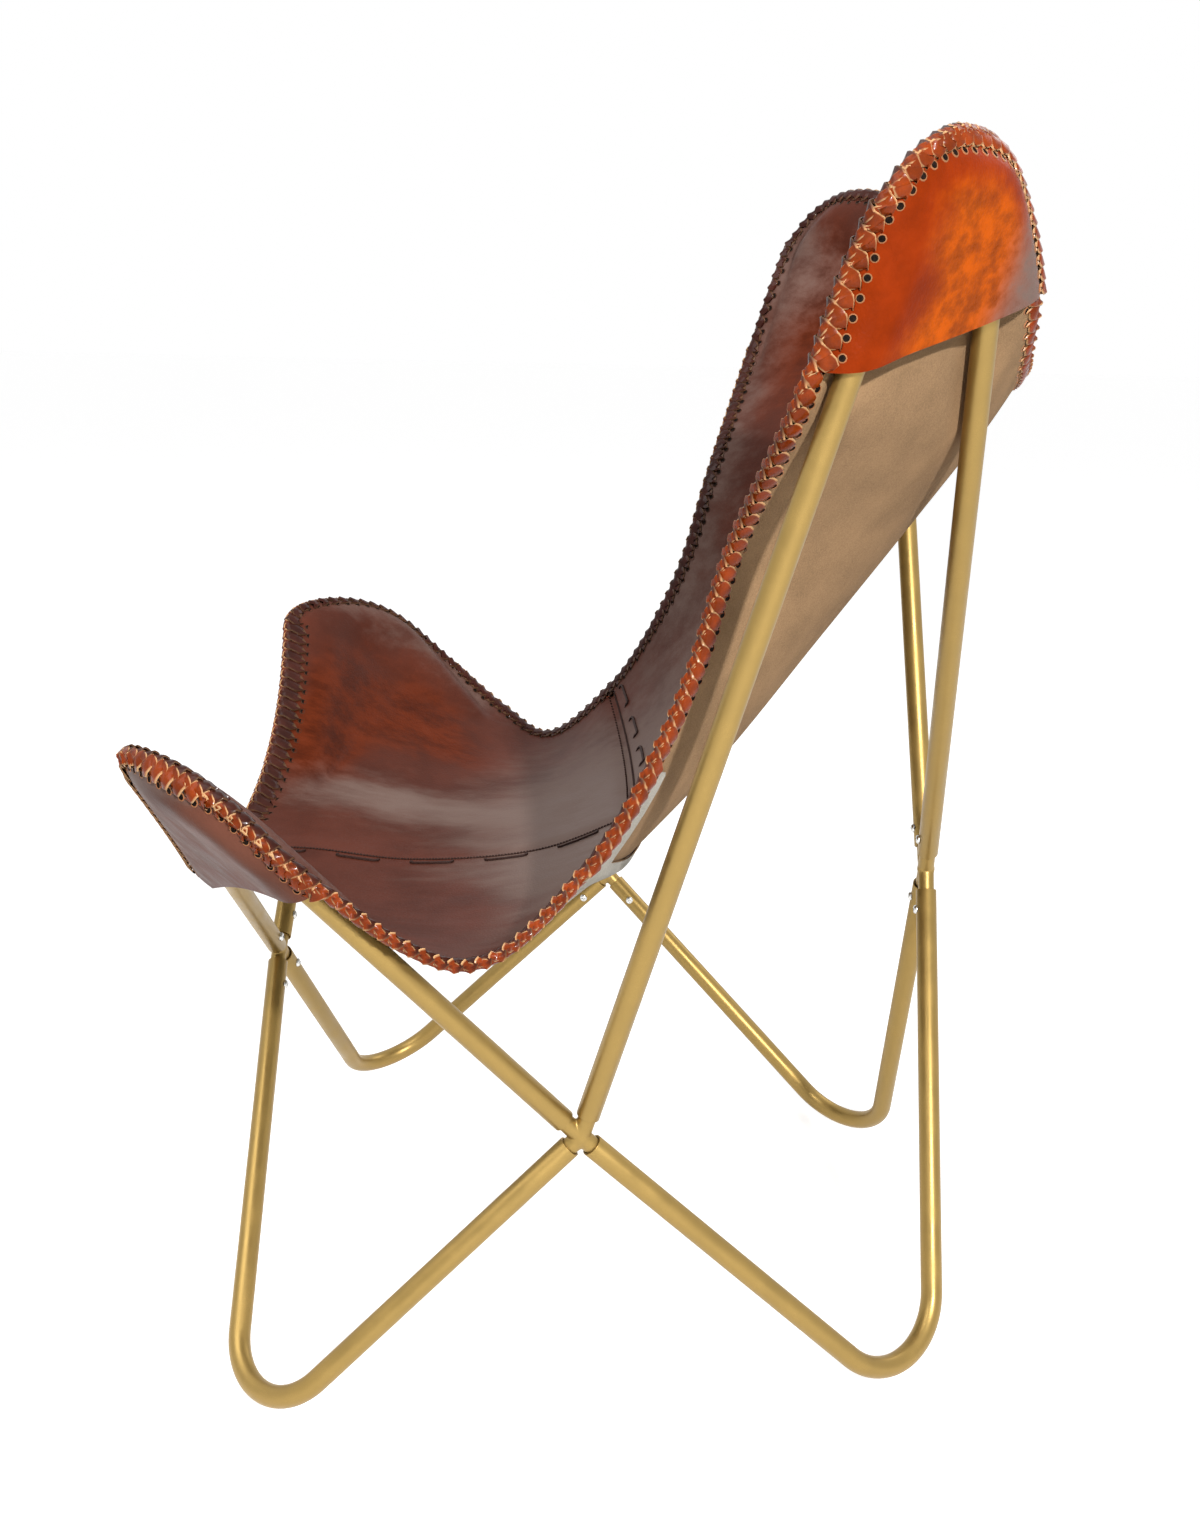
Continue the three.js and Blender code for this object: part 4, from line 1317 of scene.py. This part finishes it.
class CHAIR_OT_stitches(Operator):
    """Sew the centre seam, the waist seam and its lacing loops"""

    bl_idname = "chair.stitches"
    bl_label = "Stitching"

    spacing: length_setting("Spacing", "From stitch to stitch", 0.0052)
    thread: length_setting("Thread", "Diameter of the thread", 0.0017)
    lace: length_setting("Lace", "Width of the lace in the loops", 0.0024)
    loop_length: length_setting("Loop", "Length of a lace loop", 0.034)
    loop_pitch: length_setting("Loop pitch", "From loop to loop", 0.061)

    def execute(self, context):
        top = context.scene.chair_sling.leather_thickness / 2 / MM
        half_width = spline(SIDE_EDGE, np.array(WAIST))[0]
        spacing = self.spacing / MM
        radius = self.thread / 2 / MM
        rows = np.linspace(front_edge(0) + 0.012, WAIST - 0.01, SEAM_POINTS)
        wide = np.linspace(-0.95, 0.95, WAIST_POINTS)
        centre = np.zeros_like(rows)
        waist = np.full_like(wide, WAIST)
        lines = (
            (centre + SEAM_ROPE / half_width, rows, spacing * 0.5, 1.1),
            (wide, waist + SEAM_ROPE / SLING_LENGTH, spacing * 0.5, 1.1),
            (wide, waist - WAIST_ROW / SLING_LENGTH, spacing, 0.1),
        )
        piece = joined("seam_thread", [stitch_line(*seam_places(u, v, step, top), step * share, radius)
                                       for u, v, step, share in lines])
        smooth_faces(piece, 60)
        dress(piece, ["waxed_thread"], "thong")
        strips = self.loops(centre + CENTRE_LOOPS / half_width, rows, -CENTRE_LEG / half_width, 0.0, top)
        strips += self.loops(wide, waist + WAIST_LOOPS / SLING_LENGTH, 0.0, -WAIST_LEG / SLING_LENGTH, top)
        dress(joined_strips("lace_loops", strips), ["waxed_thread"], "thong")
        return {"FINISHED"}

    def loops(self, u, v, leg_u, leg_v, height):
        """Long lace stitches beside a seam, each with two short legs towards it."""
        lengths = arc_lengths(sling_point(u, v))
        pitch = self.loop_pitch / MM
        half_loop = self.loop_length / 2 / MM
        lace = self.lace / MM
        count = int((lengths[-1] - 2 * half_loop) / pitch) // 2 * 2 + 1
        leg = np.array([1.0, 0.6, 0.15, 0.0, 0.0, 0.0, 0.15, 0.6, 1.0])
        run = np.array([-1.0, -1.0, -0.97, -0.85, 0.0, 0.85, 0.97, 1.0, 1.0]) * half_loop
        lift = np.array([-1.2, 0.2, 0.4, 0.4, 0.4, 0.4, 0.4, 0.2, -1.2]) + height
        strips = []
        for number in range(count):
            places = lengths[-1] / 2 + (number - (count - 1) / 2) * pitch + run
            at_u = np.interp(places, lengths, u) + leg * leg_u
            at_v = np.interp(places, lengths, v) + leg * leg_v
            normal = surface_normal(sling_point, at_u, at_v)
            points = sling_point(at_u, at_v) + normal * lift[:, None]
            strips.append(ribbon(points, normal, np.full_like(places, lace), lace * 0.5))
        return strips


# Stage


class CHAIR_OT_stage(Operator):
    """Set the floor, the soft light and the camera"""

    bl_idname = "chair.stage"
    bl_label = "Stage"

    def execute(self, context):
        settings = context.scene.chair_stage
        context.scene.view_settings.view_transform = "Standard"
        self.lay_floor(settings)
        self.light_world(context.scene, settings)
        power = settings.key_power
        self.add_light("key", place=(0.9, -1.1, 2.6), aim=(0.0, 0.0, 0.4), size=2.0, power=power * 1.35)
        self.add_light("side", place=(2.5, 0.82, 1.7), aim=(0.0, 0.1, 0.6), size=0.1, power=power * 2.6)
        self.add_light("back", place=(-1.8, 1.6, 2.2), aim=(0.0, 0.0, 0.5), size=1.4, power=power * 0.4)
        self.add_camera(context.scene, settings)
        return {"FINISHED"}

    def seen(self, tree):
        """One where a camera, mirror or glass ray looks."""
        path = add_node(tree, "ShaderNodeLightPath", {})
        both = math_node(tree, "MAXIMUM", path["Is Camera Ray"], path["Is Glossy Ray"])
        return math_node(tree, "MAXIMUM", both, path["Is Transmission Ray"])

    def lay_floor(self, settings):
        deselect()
        bpy.ops.mesh.primitive_plane_add(size=40.0, location=(0, 0, -0.0005))
        floor = bpy.context.object
        floor.name = "floor"
        tree, shader = new_material("pale_floor", roughness=0.9, specular=0.1)
        feed(tree, shader, {
            "Base Color": settings.floor_colour,
            "Emission Color": self.seen(tree),
            "Emission Strength": FLOOR_GLOW,
        })
        floor.data.materials.append(bpy.data.materials["pale_floor"])

    def light_world(self, scene, settings):
        scene.world = bpy.data.worlds.new("studio")
        scene.world.use_nodes = True
        tree = scene.world.node_tree
        brighter = math_node(tree, "MULTIPLY", self.seen(tree), 1.0 - settings.ambient)
        strength = math_node(tree, "ADD", brighter, settings.ambient)
        feed(tree, tree.nodes["Background"], {"Color": (1.0, 1.0, 1.0), "Strength": strength})

    def add_light(self, name, place, aim, size, power):
        bpy.ops.object.light_add(type="AREA", location=place)
        light = bpy.context.object
        light.name = name
        light.rotation_euler = facing(Vector(place) - Vector(aim)).to_euler()
        light.data.size = size
        light.data.energy = power

    def add_camera(self, scene, settings):
        camera = bpy.data.objects.new("camera", bpy.data.cameras.new("camera"))
        scene.collection.objects.link(camera)
        azimuth = math.radians(CAMERA_AZIMUTH)
        elevation = math.radians(CAMERA_ELEVATION)
        roll = math.radians(CAMERA_ROLL)
        level = math.cos(elevation)
        back = Vector((math.sin(azimuth) * level, -math.cos(azimuth) * level, math.sin(elevation)))
        right = (-back).cross(Vector((0, 0, 1))).normalized()
        up = right.cross(-back)
        side = right * math.cos(roll) + up * math.sin(roll)
        top = up * math.cos(roll) - right * math.sin(roll)
        turn = Matrix((side, top, back)).transposed().to_4x4()
        camera.matrix_world = Matrix.Translation(Vector(in_metres(CAMERA_PLACE))) @ turn
        camera.data.lens = settings.lens
        camera.data.shift_x, camera.data.shift_y = CAMERA_SHIFT
        scene.camera = camera


class CHAIR_PT_panel(Panel):
    """Lists the steps that build the chair"""

    bl_idname = "CHAIR_PT_panel"
    bl_label = "Butterfly Chair"
    bl_space_type = "VIEW_3D"
    bl_region_type = "UI"
    bl_category = "Chair"

    def draw(self, context):
        for operator in OPERATORS:
            self.layout.operator(operator.bl_idname)
        for settings in SETTINGS:
            group = getattr(context.scene, settings)
            for name in group.__annotations__:
                self.layout.prop(group, name)


SETTINGS = {
    "chair_frame": ChairFrameSettings,
    "chair_sling": ChairSlingSettings,
    "chair_lacing": ChairLacingSettings,
    "chair_stage": ChairStageSettings,
}
OPERATORS = (
    CHAIR_OT_finishes,
    CHAIR_OT_tubes,
    CHAIR_OT_crosses,
    CHAIR_OT_screws,
    CHAIR_OT_panels,
    CHAIR_OT_pockets,
    CHAIR_OT_lacing,
    CHAIR_OT_stitches,
    CHAIR_OT_stage,
)


def register():
    for name, settings in SETTINGS.items():
        bpy.utils.register_class(settings)
        setattr(bpy.types.Scene, name, PointerProperty(type=settings))
    for operator in (*OPERATORS, CHAIR_PT_panel):
        bpy.utils.register_class(operator)


def unregister():
    for operator in (CHAIR_PT_panel, *reversed(OPERATORS)):
        bpy.utils.unregister_class(operator)
    for name, settings in SETTINGS.items():
        delattr(bpy.types.Scene, name)
        bpy.utils.unregister_class(settings)


def main():
    register()
    bpy.ops.chair.finishes()
    bpy.ops.chair.tubes()
    bpy.ops.chair.crosses()
    bpy.ops.chair.screws()
    bpy.ops.chair.panels()
    bpy.ops.chair.pockets()
    bpy.ops.chair.lacing()
    bpy.ops.chair.stitches()
    bpy.ops.chair.stage()


if __name__ == "__main__":
    main()
